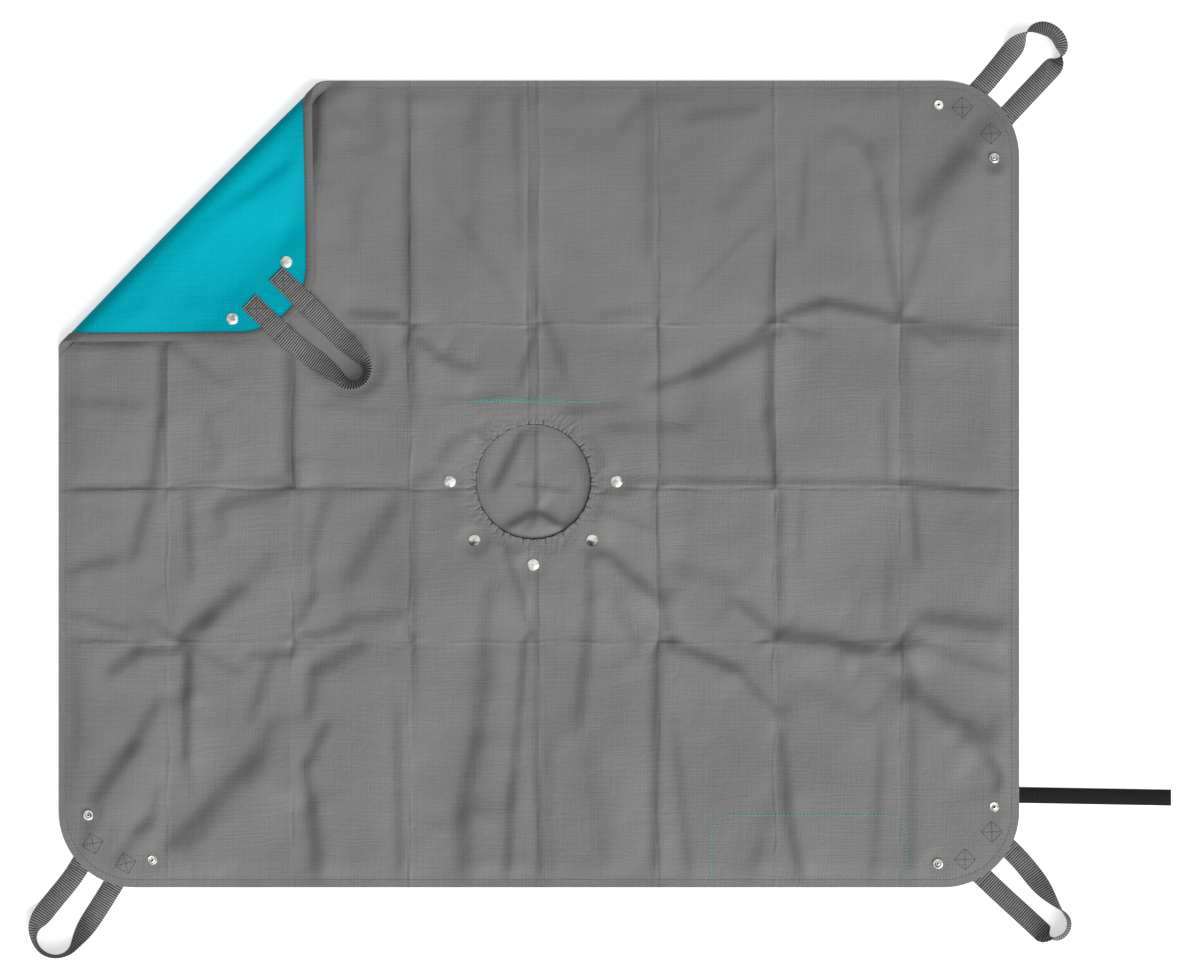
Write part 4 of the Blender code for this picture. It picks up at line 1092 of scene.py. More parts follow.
def outline_points(inset, corners, start, end, spacing):
    """Points along the sheet's edge, moved inwards, a spacing apart."""
    half = Vector((SHEET_LENGTH / 2 - inset, SHEET_WIDTH / 2 - inset))
    radius = CORNER_RADIUS - inset
    path = [start] if start else []
    for corner in corners:
        side = Vector(CORNER_SIDES[corner])
        centre = Vector((side.x * (half.x - radius), side.y * (half.y - radius)))
        middle = math.degrees(math.atan2(side.y, side.x))
        for i in range(2 * CORNER_STEPS + 1):
            angle = math.radians(middle - 45 + 90 * i / (2 * CORNER_STEPS))
            path.append(centre + radius * heading(angle))
    path.append(end)
    return spaced(path, spacing)


def spaced(path, spacing):
    """The same path with points a spacing apart."""
    steps = [0.0]
    for a, b in zip(path, path[1:]):
        steps.append(steps[-1] + (b - a).length)
    count = max(2, round(steps[-1] / spacing))
    found = []
    at = 0
    for i in range(count + 1):
        want = steps[-1] * i / count
        while at < len(path) - 2 and steps[at + 1] < want:
            at += 1
        length = max(steps[at + 1] - steps[at], 1e-9)
        share = min(max((want - steps[at]) / length, 0), 1)
        found.append(path[at].lerp(path[at + 1], share))
    return found


def edge_crossings(past, inset):
    """Where a line along the fold meets the left and the top edge, moved inwards."""
    left = -SHEET_LENGTH / 2 + inset
    top = SHEET_WIDTH / 2 - inset
    offset = (FOLD_DISTANCE + past) / FOLD_OUT.y
    return Vector((left, left + offset)), Vector((top - offset, top))


def strip_piece(name, sections, material):
    """A closed strip through rings of points, with a UV map in metres along and across it."""
    bm = bmesh.new()
    layer = bm.loops.layers.uv.new("strip")
    rings = [[bm.verts.new(p) for p in section] for section in sections]
    count = len(rings[0])
    widths = [0.0]
    for a, b in zip(rings[0], rings[0][1:]):
        widths.append(widths[-1] + (b.co - a.co).length)
    middles = [sum((v.co for v in ring), Vector()) / count for ring in rings]
    along = 0.0
    places = {}
    for index, ring in enumerate(rings):
        along += (middles[index] - middles[max(index - 1, 0)]).length
        places.update({v: (along, widths[i]) for i, v in enumerate(ring)})
    for a, b in zip(rings, rings[1:]):
        for i in range(count):
            j = (i + 1) % count
            bm.faces.new((a[j], b[j], b[i], a[i]))
    bm.faces.new(rings[0])
    bm.faces.new(rings[-1])
    for face in bm.faces:
        for loop in face.loops:
            loop[layer].uv = places[loop.vert]
    bmesh.ops.recalc_face_normals(bm, faces=bm.faces[:])
    piece = new_piece(name, bm, [material])
    piece.data.set_sharp_from_angle(angle=CRISP_ANGLE)
    return piece


def oval_section(centre, across, normal, width, thickness):
    """Eight points round a strap's cross section, its edges slightly rounded."""
    half = width / 2
    rise = thickness / 2
    soft = thickness * 0.3
    corners = [
        (-half + soft, -rise), (half - soft, -rise), (half, -rise + soft), (half, rise - soft),
        (half - soft, rise), (-half + soft, rise), (-half, rise - soft), (-half, -rise + soft),
    ]
    return [centre + across * a + normal * n for a, n in corners]


def webbing_section(centre, across, normal):
    return oval_section(centre, across, normal, WEBBING_WIDTH, WEBBING_THICKNESS)


def hem_sections(path, over, under):
    """Cross sections of the hem along its outer edge, drawn flat."""
    sections = []
    for i, point in enumerate(path):
        before = path[max(i - 1, 0)]
        after = path[min(i + 1, len(path) - 1)]
        way = (after - before).normalized()
        inward = Vector((-way.y, way.x))
        soft = HEM_ROUND
        shape = [
            (0, over), (0, under + soft), (soft, under), (HEM_WIDTH - soft, under),
            (HEM_WIDTH, under + soft), (HEM_WIDTH, over),
        ]
        sections.append(
            [
                Vector((*(point + inward * inset + slant_at_fold(point, way, inset)), depth))
                for inset, depth in shape
            ]
        )
    return sections


def laid_point(flat, depth):
    level = float(sheet_level(flat.x, flat.y)[0])
    return placed(flat, level + depth)


def turned_point(flat, depth):
    x, y, z = turned(np.array([flat.x]), np.array([flat.y]), depth)
    return placed(Vector((float(x[0]), float(y[0]))), float(z[0]))


def slant_at_fold(point, way, inset):
    """How far a point of the hem slides along it, to make its sections follow the fold's line."""
    past = point.dot(FOLD_OUT) - FOLD_DISTANCE
    away = max(past - FOLD_GIRTH, -past)
    slide = inset * (1 - smooth_step(away / HEM_SLANT_REACH))
    return way * (slide if way.dot(FOLD_OUT) > 0 else -slide)


def add_hems():
    """The hem under the laid sheet, and its end on the turned corner."""
    over = -SHEET_THICKNESS / 2
    under = over - HEM_DEPTH
    left, top = edge_crossings(0, 0)
    path = outline_points(0, LAID_CORNERS, left, top, 6 * MM)
    laid = strip_piece("hem_laid", hem_sections(path, over, under), GREY)
    lay(laid)
    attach(laid, "mat")
    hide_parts("hem_binding")
    left, top = edge_crossings(FOLD_GIRTH, 0)
    path = outline_points(0, ("left_top",), top, left, 3 * MM)
    # The turned hem is in the darker grey: painted shade
    panel = strip_piece("hem_turned", hem_sections(path, over, under), GREY_PAINTED_SHADE)
    turn_over(panel)
    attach(panel, "turned_corner")
    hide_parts("corner_hem")
    before_left, before_top = edge_crossings(0, 0)
    made = [laid, panel]
    # The hem's bends at the fold are in the darker grey too: painted shade
    for name, ends in (("left", (left, before_left)), ("top", (before_top, top))):
        path = spaced(ends, 1.5 * MM)
        piece = strip_piece(f"hem_bend_{name}", hem_sections(path, over, under), GREY_PAINTED_SHADE)
        turn_over(piece)
        blend_at_fold(piece)
        made.append(piece)
    return made


def add_stitches(name, paths, depth, material, body, size):
    """Stitches along paths, drawn flat at a height, each a small rounded lozenge.

    The size gives their spacing, length and width.
    """
    pitch, length, width = size
    bm = bmesh.new()
    for path in paths:
        points = spaced(path, pitch)
        for a, b in zip(points, points[1:]):
            way = (b - a).normalized()
            turn = Matrix.Rotation(math.atan2(way.y, way.x), 4, "Z")
            form = Matrix.Diagonal((length / 2, width / 2, STITCH_RISE, 1))
            place = Matrix.Translation((*((a + b) / 2), depth))
            bmesh.ops.create_icosphere(bm, subdivisions=1, radius=1, matrix=place @ turn @ form)
    piece = new_piece(name, bm, [material])
    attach(piece, body)
    return piece


def drop_on_sheet(piece, sheet):
    """Puts stitches drawn flat on the laid sheet's own faces, so that none sinks in."""
    bm = bmesh.new()
    bm.from_mesh(sheet.data)
    tree = bvhtree.BVHTree.FromBMesh(bm)
    bm.free()
    x, y, depth = get_points(piece.data)
    level = sheet_level(x, y)
    for i in range(len(x)):
        above = placed(Vector((x[i], y[i])), 0.1)
        hit = tree.ray_cast(above, (0, 0, -1))[0]
        if hit:
            level[i] = hit.z - MIDDLE.z - SHEET_THICKNESS / 2
    set_points(piece.data, x, y, level + depth)


def lathe_piece(node_name, profile, place, flip, dark, body, shade_rings=()):
    """Turns a closed profile of radius and height round an upright axis.

    It is nickel; each ring of painted shade, between two radii and above a height, is darker metal.
    """
    bm = bmesh.new()
    points = [bm.verts.new((radius, 0, height)) for radius, height in profile]
    pairs = list(zip(points, points[1:]))
    if profile[0][0] > 0:
        pairs.append((points[-1], points[0]))
    edges = [bm.edges.new(pair) for pair in pairs]
    bmesh.ops.spin(
        bm, geom=points + edges, cent=(0, 0, 0), axis=(0, 0, 1), angle=2 * math.pi,
        steps=LATHE_STEPS, use_merge=True,
    )
    bmesh.ops.remove_doubles(bm, verts=bm.verts[:], dist=1e-7)
    for face in bm.faces:
        middle = face.calc_center_median()
        radius = math.hypot(middle.x, middle.y)
        for inner, outer, height in shade_rings:
            if inner < radius < outer and middle.z > height:
                face.material_index = 1
    turn = Matrix.Rotation(math.pi, 4, "X") if flip else Matrix.Identity(4)
    bmesh.ops.transform(bm, matrix=Matrix.Translation(place) @ turn, verts=bm.verts[:])
    bmesh.ops.recalc_face_normals(bm, faces=bm.faces[:])
    piece = new_piece("shown_" + node_name, bm, [NICKEL, dark])
    piece.data.set_sharp_from_angle(angle=CRISP_METAL_ANGLE)
    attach(piece, body)
    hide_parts(node_name)
    return piece


def cap_profile():
    """A domed cap with a rolled rim, dome up, its seat at zero, over its post."""
    rim = 0.9 * MM
    profile = [(0, -1.2 * MM), (1.4 * MM, -1.2 * MM), (1.4 * MM, 0), (CAP_RADIUS - 0.5 * MM, 0)]
    for i in range(7):
        angle = math.radians(-90 + 180 * i / 6)
        profile.append(
            (CAP_RADIUS - 0.45 * MM + 0.45 * MM * math.cos(angle), rim / 2 * (1 + math.sin(angle)))
        )
    profile.append((CAP_RADIUS - 0.9 * MM, rim - 0.12 * MM))
    dome = CAP_RADIUS - 1.1 * MM
    for i in range(9):
        share = i / 8
        radius = dome * math.cos(share * math.pi / 2)
        height = rim + (CAP_HEIGHT - rim) * math.sin(share * math.pi / 2) ** 0.8
        profile.append((max(radius, 0) if i < 8 else 0, height))
    return profile


def stud_profile():
    """The flange with a groove, and the nipple with its hollow."""
    top = STUD_FLANGE + NIPPLE_HEIGHT
    hole = 1.5 * MM
    return [
        (0, 0.4 * MM), (0.3 * MM, 0.4 * MM), (0.3 * MM, 0), (STUD_RADIUS - 0.3 * MM, 0),
        (STUD_RADIUS, 0.3 * MM), (STUD_RADIUS, STUD_FLANGE - 0.1 * MM),
        (STUD_RADIUS - 0.25 * MM, STUD_FLANGE + 0.15 * MM),
        (STUD_RADIUS - 0.8 * MM, STUD_FLANGE + 0.15 * MM),
        (STUD_RADIUS - 1.2 * MM, STUD_FLANGE - 0.35 * MM),
        (NIPPLE_RADIUS + 0.5 * MM, STUD_FLANGE - 0.35 * MM),
        (NIPPLE_RADIUS - 0.1 * MM, STUD_FLANGE),
        (NIPPLE_RADIUS + 0.05 * MM, top - 0.7 * MM), (NIPPLE_RADIUS - 0.1 * MM, top - 0.25 * MM),
        (NIPPLE_RADIUS - 0.5 * MM, top), (hole + 0.15 * MM, top), (hole, top - 0.2 * MM),
        (hole, 0.5 * MM), (0, 0.5 * MM),
    ]


def socket_profile():
    """The ring with a wide mouth and the post's head at its bottom."""
    mouth = NIPPLE_RADIUS + 0.3 * MM
    return [
        (0, 0), (SOCKET_RADIUS - 0.4 * MM, 0), (SOCKET_RADIUS, 0.4 * MM),
        (SOCKET_RADIUS, SOCKET_HEIGHT - 0.8 * MM),
        (SOCKET_RADIUS - 0.25 * MM, SOCKET_HEIGHT - 0.3 * MM),
        (SOCKET_RADIUS - 0.8 * MM, SOCKET_HEIGHT),
        (mouth + 1.2 * MM, SOCKET_HEIGHT), (mouth + 0.3 * MM, SOCKET_HEIGHT - 0.2 * MM),
        (mouth, SOCKET_HEIGHT - 0.5 * MM), (mouth, 0.75 * MM), (1.5 * MM, 0.75 * MM),
        (1.3 * MM, 0.95 * MM), (0, 0.95 * MM),
    ]


def add_snap(cap_node, mate_node, place, mate, cap_up, body):
    """A cap on one side of the cloth and its mate on the other."""
    seat = Vector((0, 0, SHEET_THICKNESS / 2 + SNAP_SEAT))
    cap_seat = place + seat if cap_up else place - seat
    mate_seat = place - seat if cap_up else place + seat
    cap = lathe_piece(cap_node, cap_profile(), cap_seat, not cap_up, NICKEL_HALF_SHADE, body)
    # Painted shade and dark reflection on the lower half of these caps, darkest at the bottom
    if cap_node in CAPS_SHADED_BELOW:
        cap.data.materials.append(NICKEL_PAINTED_SHADE)
        for face in cap.data.polygons:
            below = cap_seat.y - face.center.y
            if below > HALF_SHADE_FROM:
                face.material_index = 1 if below < FULL_SHADE_FROM else 2
    profile = stud_profile() if mate == "stud" else socket_profile()
    # Studs and sockets get painted shade in their hollows
    lathe_piece(mate_node, profile, mate_seat, cap_up, NICKEL_PAINTED_SHADE, body, PAINTED_SHADE_RINGS[mate])


def add_snaps():
    for name, bearing in CENTRE_SNAP_BEARINGS.items():
        flat = centre_snap_place(bearing)
        place = laid_point(flat, 0)
        add_snap(f"centre_cap_{name}", f"centre_socket_{name}", place, "socket", True, "mat")
        place = placed(flat, FLAP_LEVEL)
        add_snap(f"flap_cap_{name}", f"flap_stud_{name}", place, "stud", False, "flap")
    for corner in CORNER_SIDES:
        on_panel = corner == "left_top"
        body = "turned_corner" if on_panel else "mat"
        for mate in ("stud", "socket"):
            flat = corner_snap_place(corner, mate)
            place = turned_point(flat, 0) if on_panel else laid_point(flat, 0)
            names = (f"{corner}_cap_of_{mate}", f"{corner}_{mate}")
            add_snap(*names, place, mate, on_panel, body)


def strand_station(corner, length, side, t):
    """One place on a strand, at a share of its run: along, across and its outward way."""
    handle = HANDLES[corner]
    root = STRAND_SPACING / 2
    gain = root * (side * (handle["spread_share"] - 1) + handle["sway_share"])
    run = length - root * handle["spread_share"]
    slant = math.atan2(gain * 6 * t * (1 - t), run)
    across = side * root + gain * float(smooth_step(t))
    return run * t, across, side * math.pi / 2 + slant


def loop_stations(corner, length):
    """Places along a whole loop, each with its way and where its twist starts."""
    handle = HANDLES[corner]
    first, last = handle["start_shares"]
    half = STRAND_SPACING / 2 * handle["spread_share"]
    sway = STRAND_SPACING / 2 * handle["sway_share"]
    steps = round((length - half) / WEBBING_STEP)
    going = [(*strand_station(corner, length, 1, i / steps), first) for i in range(steps)]
    coming = [(*strand_station(corner, length, -1, i / steps), last) for i in range(steps)]
    bend = []
    bends = round(math.pi * half / WEBBING_STEP)
    for i in range(bends + 1):
        t = i / bends
        way = math.pi / 2 - math.pi * t
        along = length - half + half * math.cos(way)
        bend.append((along, sway + half * math.sin(way), way, first + (last - first) * t))
    return going + bend + coming[::-1]


def add_handle(corner):
    """One strip of webbing: sewn end, loop and sewn end, bending where it leaves the sheet."""
    frame = HandleFrame(corner)
    on_panel = corner == "left_top"
    length = frame.far_end - frame.pivot - WEBBING_THICKNESS / 2
    half = WEBBING_THICKNESS / 2
    under_sheet = SHEET_THICKNESS / 2 + SEWN_GAP + half
    over_hem = under_sheet + HEM_DEPTH
    hem_line = frame.edge - HEM_WIDTH - 3 * MM

    def plan(out, across):
        flat = frame.flat(out, across)
        if on_panel:
            x, y, _ = turned_place(flat)
            return Vector((x, y))
        return flat

    def sewn_level(out, across):
        step = float(smooth_step((out - hem_line + 7 * MM) / (7 * MM)))
        depth = -(under_sheet + (over_hem - under_sheet) * step)
        flat = frame.flat(min(out, frame.edge), across)
        if on_panel:
            return turned_point(flat, depth).z - MIDDLE.z
        return max(EDGE_LEVEL + depth, half)

    pivot = plan(frame.pivot, 0)
    out_way = (plan(frame.pivot + length, 0) - pivot).normalized()
    across_way = Vector((-out_way.y, out_way.x))
    turn_sign = -1 if on_panel else 1
    root_level = sewn_level(frame.edge, 0)
    ground = EDGE_LEVEL + SHEET_THICKNESS / 2 + 0.4 * MM if on_panel else 0

    def point(along, across, level):
        return placed(pivot + out_way * along + across_way * across, level)

    back = frame.pivot - frame.sewn_tip + (TURNED_SEWN_GAIN if on_panel else 0)
    sewn_steps = round(back / WEBBING_STEP)
    handle = HANDLES[corner]

    def sewn_section(i, side):
        along = -back * (1 - i / sewn_steps)
        level = sewn_level(frame.pivot + along, turn_sign * side * STRAND_SPACING / 2)
        flat_across = Vector((*(across_way * side), 0))
        centre = point(along, side * STRAND_SPACING / 2, level)
        return webbing_section(centre, flat_across, Vector((0, 0, 1)))

    sections = [sewn_section(i, 1) for i in range(sewn_steps)]
    for along, across, way, start in loop_stations(corner, length):
        share = (along / length - start) / (1 - start)
        angle = math.radians(handle["turn"]) * float(smooth_step(share))
        lying = half * abs(math.cos(angle)) + WEBBING_WIDTH / 2 * math.sin(angle)
        landing = float(smooth_step(along / LOOP_LANDING))
        level = root_level + (ground + lying - root_level) * landing
        flat_way = out_way * math.cos(way) + across_way * math.sin(way)
        outward = Vector((*flat_way, 0))
        tangent = outward.cross(Vector((0, 0, 1)))
        across_strip = outward * math.cos(angle) + Vector((0, 0, math.sin(angle)))
        normal = across_strip.cross(tangent)
        centre = point(along, across, level)
        sections.append(webbing_section(centre, across_strip, normal))
    sections += [sewn_section(i, -1) for i in reversed(range(sewn_steps))]
    piece = strip_piece(f"webbing_{corner}", sections, WEBBING)
    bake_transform(piece)
    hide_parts(f"handle_{corner}_loop", f"handle_{corner}_end_a", f"handle_{corner}_end_b")


def add_strap():
    """The elastic strap, doubled, with its end sewn under the hem."""
    middle = Vector((0, -SHEET_WIDTH / 2 + STRAP_FROM_BOTTOM))
    edge = SHEET_LENGTH / 2
    stations = []
    start = edge - STRAP_SEWN_REACH
    end = edge + STRAP_LENGTH
    steps = round((end - start) / WEBBING_STEP)
    for i in range(steps + 1):
        x = start + (end - start) * i / steps
        slip = 1.3 * MM - 3.3 * MM * max(x - edge, 0) / STRAP_LENGTH
        centre = placed(Vector((x, middle.y + slip)), STRAP_THICKNESS / 2)
        stations.append(
            oval_section(centre, Vector((0, 1, 0)), Vector((0, 0, 1)), STRAP_WIDTH, STRAP_THICKNESS)
        )
    piece = strip_piece("elastic_band", stations, ELASTIC)
    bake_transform(piece)
    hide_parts("elastic_strap", "strap_sewn_end")


def rim_gathers(angle, radius):
    """Short radial tucks where the elastic draws the cloth in."""
    height = np.zeros(len(angle))
    for i in range(RIM_GATHERS):
        at = 2 * math.pi * (i + 0.36 * math.sin(5.1 * i) + 0.2 * math.sin(2.3 * i)) / RIM_GATHERS
        off = (np.mod(angle - at + math.pi, 2 * math.pi) - math.pi) * radius
        reach = RIM_WIDTH * (0.62 + 0.38 * math.sin(3.7 * i))
        strength = 0.68 + 0.32 * math.sin(1.9 * i + 1)
        into = 1 - smooth_step((radius - OPENING_RADIUS - 0.2 * reach) / (0.8 * reach))
        height -= RIM_TUCK * strength * bell(off, RIM_TUCK_WIDTH) * into
    for i in range(RIM_DENTS):
        at = 2.4 * i
        out = OPENING_RADIUS + (6 + 13 * (0.5 + 0.5 * math.sin(7.7 * i))) * MM
        slant = 0.9 * math.sin(4.3 * i)
        along = radius - out
        off = (np.mod(angle - at + math.pi, 2 * math.pi) - math.pi) * radius - slant * along
        length = (2.5 + 1.5 * math.sin(2.9 * i)) * MM
        dent = bell(off, 1.3 * MM) * bell(along, length)
        height += 0.55 * MM * math.sin(5.9 * i) * dent
    return height


def add_opening_rim():
    """The cloth round the opening, turned down over its elastic and gathered by it."""
    bm = bmesh.new()
    bmesh.ops.create_grid(bm, x_segments=RIM_STEPS, y_segments=RIM_ROWS, size=0.5)
    piece = new_piece("opening_rim", bm, [GREY])
    u, v, _ = get_points(piece.data)
    angle = 2 * math.pi * (u + 0.5)
    share = v + 0.5
    flat = np.clip(share / RIM_FLAT_SHARE, 0, 1)
    curl = np.clip((share - RIM_FLAT_SHARE) / (1 - RIM_FLAT_SHARE), 0, 1) * math.pi
    radius = RIM_RADIUS + 0.1 * MM + (OPENING_RADIUS + RIM_CURL - RIM_RADIUS) * flat
    radius = radius - RIM_CURL * np.sin(curl) + 3 * MM * np.maximum(curl - math.pi / 2, 0)
    wave = 0.35 * MM * np.sin(31 * angle + 2 * np.sin(4 * angle)) * smooth_step((flat - 0.6) / 0.4)
    x = OPENING.x + (radius + wave) * np.cos(angle)
    y = OPENING.y + (radius + wave) * np.sin(angle)
    depth = rim_gathers(angle, radius) * smooth_step((RIM_RADIUS - radius) / (2 * MM))
    depth -= RIM_CURL * (1 - np.cos(curl))
    keep_painted_fold_shade(piece, x, y, FOLDS, PAINTED_SHADE_PATCHES)
    set_points(piece.data, x, y, sheet_level(x, y) + depth)
    weld_seam(piece)
    give_thickness(piece, SHEET_THICKNESS)
    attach(piece, "mat")

    bm = bmesh.new()
    ring = OPENING_RADIUS + 0.1 * MM
    bmesh.ops.create_circle(
        bm,
        segments=8,
        radius=0.8 * MM,
        matrix=Matrix.Translation((ring, 0, 0)) @ Matrix.Rotation(math.pi / 2, 4, "X"),
    )
    bmesh.ops.spin(
        bm, geom=bm.verts[:] + bm.edges[:], cent=(0, 0, 0), axis=(0, 0, 1), angle=2 * math.pi,
        steps=144, use_merge=True,
    )
    bmesh.ops.remove_doubles(bm, verts=bm.verts[:], dist=1e-7)
    bmesh.ops.recalc_face_normals(bm, faces=bm.faces[:])
    elastic = new_piece("opening_band", bm, [ELASTIC_EDGE])
    x, y, z = get_points(elastic.data)
    set_points(elastic.data, x + OPENING.x, y + OPENING.y, z + CENTRE_LEVEL - 2 * RIM_CURL)
    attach(elastic, "mat")
    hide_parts("opening_elastic")


def weld_seam(piece):
    """Joins the ends of a strip that runs full circle."""
    bm = bmesh.new()
    bm.from_mesh(piece.data)
    bmesh.ops.remove_doubles(bm, verts=bm.verts[:], dist=1e-5)
    bm.to_mesh(piece.data)
    bm.free()
    piece.data.shade_smooth()


def flap_level(x, y):
    seam = OPENING.y + FLAP_SEAM_DISTANCE
    rise = smooth_step((y - seam + FLAP_RISE_LENGTH) / FLAP_RISE_LENGTH)
    level = FLAP_LEVEL + (FLAP_SEAM_LEVEL - FLAP_LEVEL) * rise
    inside = 1 - smooth_step((np.hypot(x - OPENING.x, y - OPENING.y) - 58 * MM) / (18 * MM))
    loose = fold_heights(x, y, FLAP_FOLDS)[0] + slow_heights(x, y, 45 * MM, 0.6 * MM, 21)
    return above_floor(level + inside * (1.6 * MM + loose))


def add_flap():
    """The flap under the opening, cut straight along its seam."""
    bm = cloth_grid(FLAP_CELL, FLAP_RADIUS, FLAP_RADIUS, centre=OPENING)
    for i in range(FLAP_STEPS):
        normal = heading(2 * math.pi * (i + 0.5) / FLAP_STEPS)
        cut(bm, OPENING + normal * FLAP_RADIUS, normal, drop=True)
    cut(bm, OPENING + Vector((0, FLAP_SEAM_DISTANCE)), (0, 1), drop=True)
    area = flat_area(bm)
    piece = new_piece("flap_under_opening", bm, [GREY_PLAIN, TURQUOISE])
    x, y, _ = get_points(piece.data)
    keep_painted_fold_shade(piece, x, y, FLAP_FOLDS)
    set_points(piece.data, x, y, flap_level(x, y))
    give_thickness(piece, SHEET_THICKNESS, back_material=1)
    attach(piece, "flap")
    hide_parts("cover_flap")
    return piece, area


def pocket_outline(inset):
    right = SHEET_LENGTH / 2 - POCKET_FROM_RIGHT - inset
    left = SHEET_LENGTH / 2 - POCKET_FROM_RIGHT - POCKET_SIZE[0] + inset
    mouth = -SHEET_WIDTH / 2 + HEM_WIDTH
    closed = mouth + POCKET_SIZE[1] - inset
    radius = POCKET_CORNER_RADIUS - inset
    path = [Vector((right, mouth))]
    for centre_x, start in ((right - radius, 0), (left + radius, 90)):
        for i in range(9):
            angle = math.radians(start + 90 * i / 8)
            centre = Vector((centre_x, closed - radius))
            path.append(centre + radius * heading(angle))
    path.append(Vector((left, mouth)))
    return path


def add_pocket():
    """The pocket on the turquoise side. Its seam is drawn with the other stitches."""
    path = pocket_outline(0)
    low = Vector((min(p.x for p in path), min(p.y for p in path)))
    high = Vector((max(p.x for p in path), max(p.y for p in path)))
    half = (high - low) / 2
    bm = cloth_grid(POCKET_CELL, half.x, half.y, centre=low + half)
    for a, b in zip(path, path[1:]):
        way = (b - a).normalized()
        cut(bm, a, Vector((way.y, -way.x)), drop=True)
    area = flat_area(bm)
    piece = new_piece("pocket_patch", bm, [GREY])
    x, y, _ = get_points(piece.data)
    under = sheet_level(x, y) - SHEET_THICKNESS - 0.1 * MM
    set_points(piece.data, x, y, np.minimum(under, POCKET_LEVEL))
    give_thickness(piece, SHEET_THICKNESS)
    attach(piece, "mat")
    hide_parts("tool_pocket")
    return piece, area


def crossed_box(corner, side):
    """The box with a cross in it that holds one end of a handle."""
    frame = HandleFrame(corner)
    gain = TURNED_SEWN_GAIN if corner == "left_top" else 0
    middle_out = frame.sewn_tip - gain + BOX_FROM_TIP + BOX_SIZE / 2
    across = side * STRAND_SPACING / 2
    half = BOX_SIZE / 2
    corners = [(-half, -half), (half, -half), (half, half), (-half, half)]
    flats = [frame.flat(middle_out + a, across + b) for a, b in corners]
    return [flats + flats[:1], flats[0::2], flats[1::2]]


def add_seams(sheet):
    """Every line of stitches that shows."""
    top = SHEET_THICKNESS / 2 + 0.1 * MM
    inset = HEM_WIDTH - HEM_SEAM_INSET
    left, upper = edge_crossings(0, inset)
    hem = outline_points(inset, LAID_CORNERS, left, upper, 3 * MM)
    boxes = [line for c in LAID_CORNERS for side in (1, -1) for line in crossed_box(c, side)]
    pocket_seam = pocket_outline(POCKET_SEAM_INSET)
    half = math.sqrt(FLAP_RADIUS**2 - FLAP_SEAM_DISTANCE**2) + 3 * MM
    y = OPENING.y + FLAP_SEAM_DISTANCE + 1.1 * MM
    left, right = OPENING.x - half, OPENING.x + half
    flap_seams = [
        [Vector((left, y)), Vector((right, y - 0.4 * MM))],
        [Vector((left + 9 * MM, y + 1.9 * MM)), Vector((right - 42 * MM, y + 2.1 * MM))],
    ]
    for name, paths, material, size in (
        ("hem_stitches_laid", [hem], GREY_THREAD, HEM_STITCH),
        ("box_stitches_laid", boxes, DARK_THREAD, BOX_STITCH),
        ("pocket_stitches", [pocket_seam], TURQUOISE_THREAD, POCKET_STITCH),
        ("flap_stitches", flap_seams, TURQUOISE_THREAD, FLAP_STITCH),
    ):
        drop_on_sheet(add_stitches(name, paths, top, material, "mat", size), sheet)
    left, upper = edge_crossings(FOLD_GIRTH + 2 * MM, inset)
    hem = outline_points(inset, ("left_top",), upper, left, 3 * MM)
    boxes = crossed_box("left_top", 1) + crossed_box("left_top", -1)
    for name, paths, cover, size in (
        ("hem_stitches_turned", [hem], HEM_DEPTH, HEM_STITCH),
        ("box_stitches_turned", boxes, SEWN_GAP + WEBBING_THICKNESS, BOX_STITCH),
    ):
        depth = -(SHEET_THICKNESS / 2 + cover)
        turn_over(add_stitches(name, paths, depth, DARK_THREAD, "turned_corner", size))


# Stage

def add_stage():
    """A white floor, soft light from the lower right and a camera straight above."""
    bm = bmesh.new()
    bmesh.ops.create_grid(bm, x_segments=1, y_segments=1, size=FLOOR_HALF)
    floor = new_piece("floor", bm, [], smooth=False)
    material, tree, shader, _ = new_material("white_floor")
    feed(tree, shader, {
        "Base Color": (0.9, 0.9, 0.9), "Roughness": 0.9, "Specular IOR Level": 0.1,
        "Emission Color": (1, 1, 1),
        "Emission Strength": math_node(tree, "MULTIPLY", seen_rays(tree), FLOOR_GLOW),
    })
    floor.data.materials.append(material)

    world = bpy.data.worlds.new("soft_room")
    bpy.context.scene.world = world
    world.use_nodes = True
    tree = world.node_tree
    background = tree.nodes["Background"]
    strength = ranged(tree, seen_rays(tree), 0.0, 1.0, ROOM_LIGHT, 1.0)
    feed(tree, background, {"Color": (1, 1, 1), "Strength": strength})

    lamp = bpy.data.lights.new("key", "SUN")
    lamp.energy = LAMP_POWER
    lamp.angle = LAMP_SPREAD
    key = bpy.data.objects.new("key", lamp)
    bpy.context.scene.collection.objects.link(key)
    way = Vector((*(-LIGHT_WAY * LAMP_SLANT), -1))
    key.rotation_euler = way.to_track_quat("-Z", "Y").to_euler()

    lens = bpy.data.cameras.new("camera")
    camera = bpy.data.objects.new("camera", lens)
    bpy.context.scene.collection.objects.link(camera)
    bpy.context.scene.camera = camera
    lens.sensor_width = SENSOR_WIDTH
    lens.lens = SENSOR_WIDTH * CAMERA_DISTANCE / (1200 * PIXEL)
    lens.clip_end = 100
    camera.location = placed(by_pixel(600, 489.5), CAMERA_DISTANCE)


def seen_rays(tree):
    """1 for rays that show the background: camera, glossy and transmitted."""
    path = node(tree, "ShaderNodeLightPath")
    seen = math_node(tree, "MAXIMUM", path.outputs["Is Camera Ray"], path.outputs["Is Glossy Ray"])
    return math_node(tree, "MAXIMUM", seen, path.outputs["Is Transmission Ray"])


# Building

for item in list(bpy.data.objects):
    bpy.data.objects.remove(item, do_unlink=True)
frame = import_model()

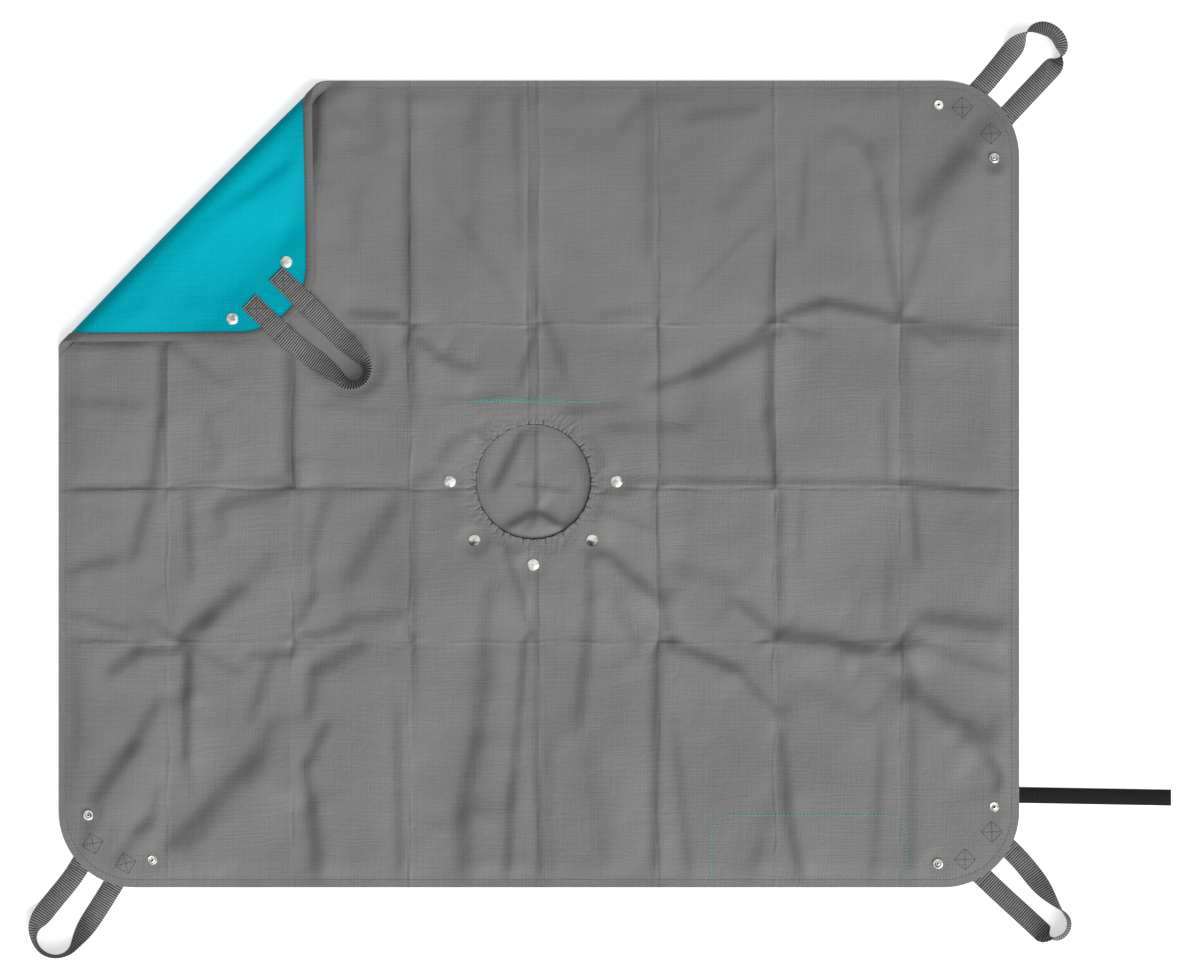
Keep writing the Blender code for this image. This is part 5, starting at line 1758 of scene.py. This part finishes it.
FOLD_OUT = Vector((-1, 1)).normalized()
FOLD_START = Vector((-SHEET_LENGTH / 2, SHEET_WIDTH / 2 - TURNED_LEG))
FOLD_END = Vector((-SHEET_LENGTH / 2 + TURNED_LEG, SHEET_WIDTH / 2))
FOLD_MIDDLE = (FOLD_START + FOLD_END) / 2
FOLD_DISTANCE = FOLD_START.dot(FOLD_OUT)
FOLD_GIRTH = math.pi * FOLD_RADIUS
sheet_low, sheet_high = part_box("mat_sheet")
MIDDLE = Vector(
    (
        sheet_high.x - SHEET_LENGTH / 2,
        sheet_low.y + SHEET_WIDTH / 2,
        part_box("handle_right_top_end_a")[0].z,
    )
)

WOVEN_TAPE = woven_tape_group()
CRINKLE = crinkle_group()
FINE_CREASES = fine_crease_group()
GREY = tarpaulin(
    "grey_woven_tarpaulin", (0.185, 0.185, 0.184), (0.228, 0.228, 0.226), 0.55, 0.14, True
)
GREY_PLAIN = tarpaulin(
    "grey_tarpaulin_flap", (0.179, 0.179, 0.178), (0.225, 0.225, 0.223), 0.55, 0.14
)
# A darker copy of the grey cloth: painted shade on the roll of the fold and the turned corner's
# hems
GREY_PAINTED_SHADE = tarpaulin("grey_tarpaulin_painted_shade", (0.125, 0.125, 0.124), (0.17, 0.17, 0.169), 0.6, 0.1)
TURQUOISE = tarpaulin(
    "turquoise_tarpaulin_back", (0.0, 0.33, 0.42), (0.0, 0.385, 0.475), 0.5, 0.02
)
WEBBING = ribbed_webbing("ribbed_grey_webbing", (0.01, 0.01, 0.01), (0.33, 0.33, 0.325), 2.9 * MM)
ELASTIC = ribbed_webbing(
    "black_ribbed_elastic", (0.006, 0.006, 0.006), (0.022, 0.022, 0.022), 1.6 * MM
)
ELASTIC_EDGE = ribbed_webbing("dark_elastic_edge", (0.02, 0.02, 0.02), (0.04, 0.04, 0.04), 2 * MM)
NICKEL = plated_metal("nickel_plate", (0.3, 0.29, 0.27), (0.76, 0.75, 0.71))
# Darker copies of the nickel: painted shade on some caps' lower halves and in stud and socket
# hollows
NICKEL_HALF_SHADE = plated_metal("nickel_painted_half_shade", (0.05, 0.05, 0.045), (0.3, 0.3, 0.27))
NICKEL_PAINTED_SHADE = plated_metal("nickel_painted_shade", (0.03, 0.03, 0.03), (0.12, 0.12, 0.11))
GREY_THREAD = sewing_thread("grey_thread", (0.15, 0.15, 0.15))
DARK_THREAD = sewing_thread("dark_grey_thread", (0.06, 0.06, 0.06))
TURQUOISE_THREAD = sewing_thread("turquoise_thread", (0.11, 0.46, 0.42))

bpy.context.scene.view_settings.view_transform = "Standard"
add_stage()
laid_sheet, laid_area = add_main_sheet()
corner_pieces = add_turned_corner()
hems = add_hems()
add_opening_rim()
flap, flap_area = add_flap()
pocket, pocket_area = add_pocket()
for corner_name in HANDLES:
    add_handle(corner_name)
add_strap()
add_snaps()
add_seams(laid_sheet)
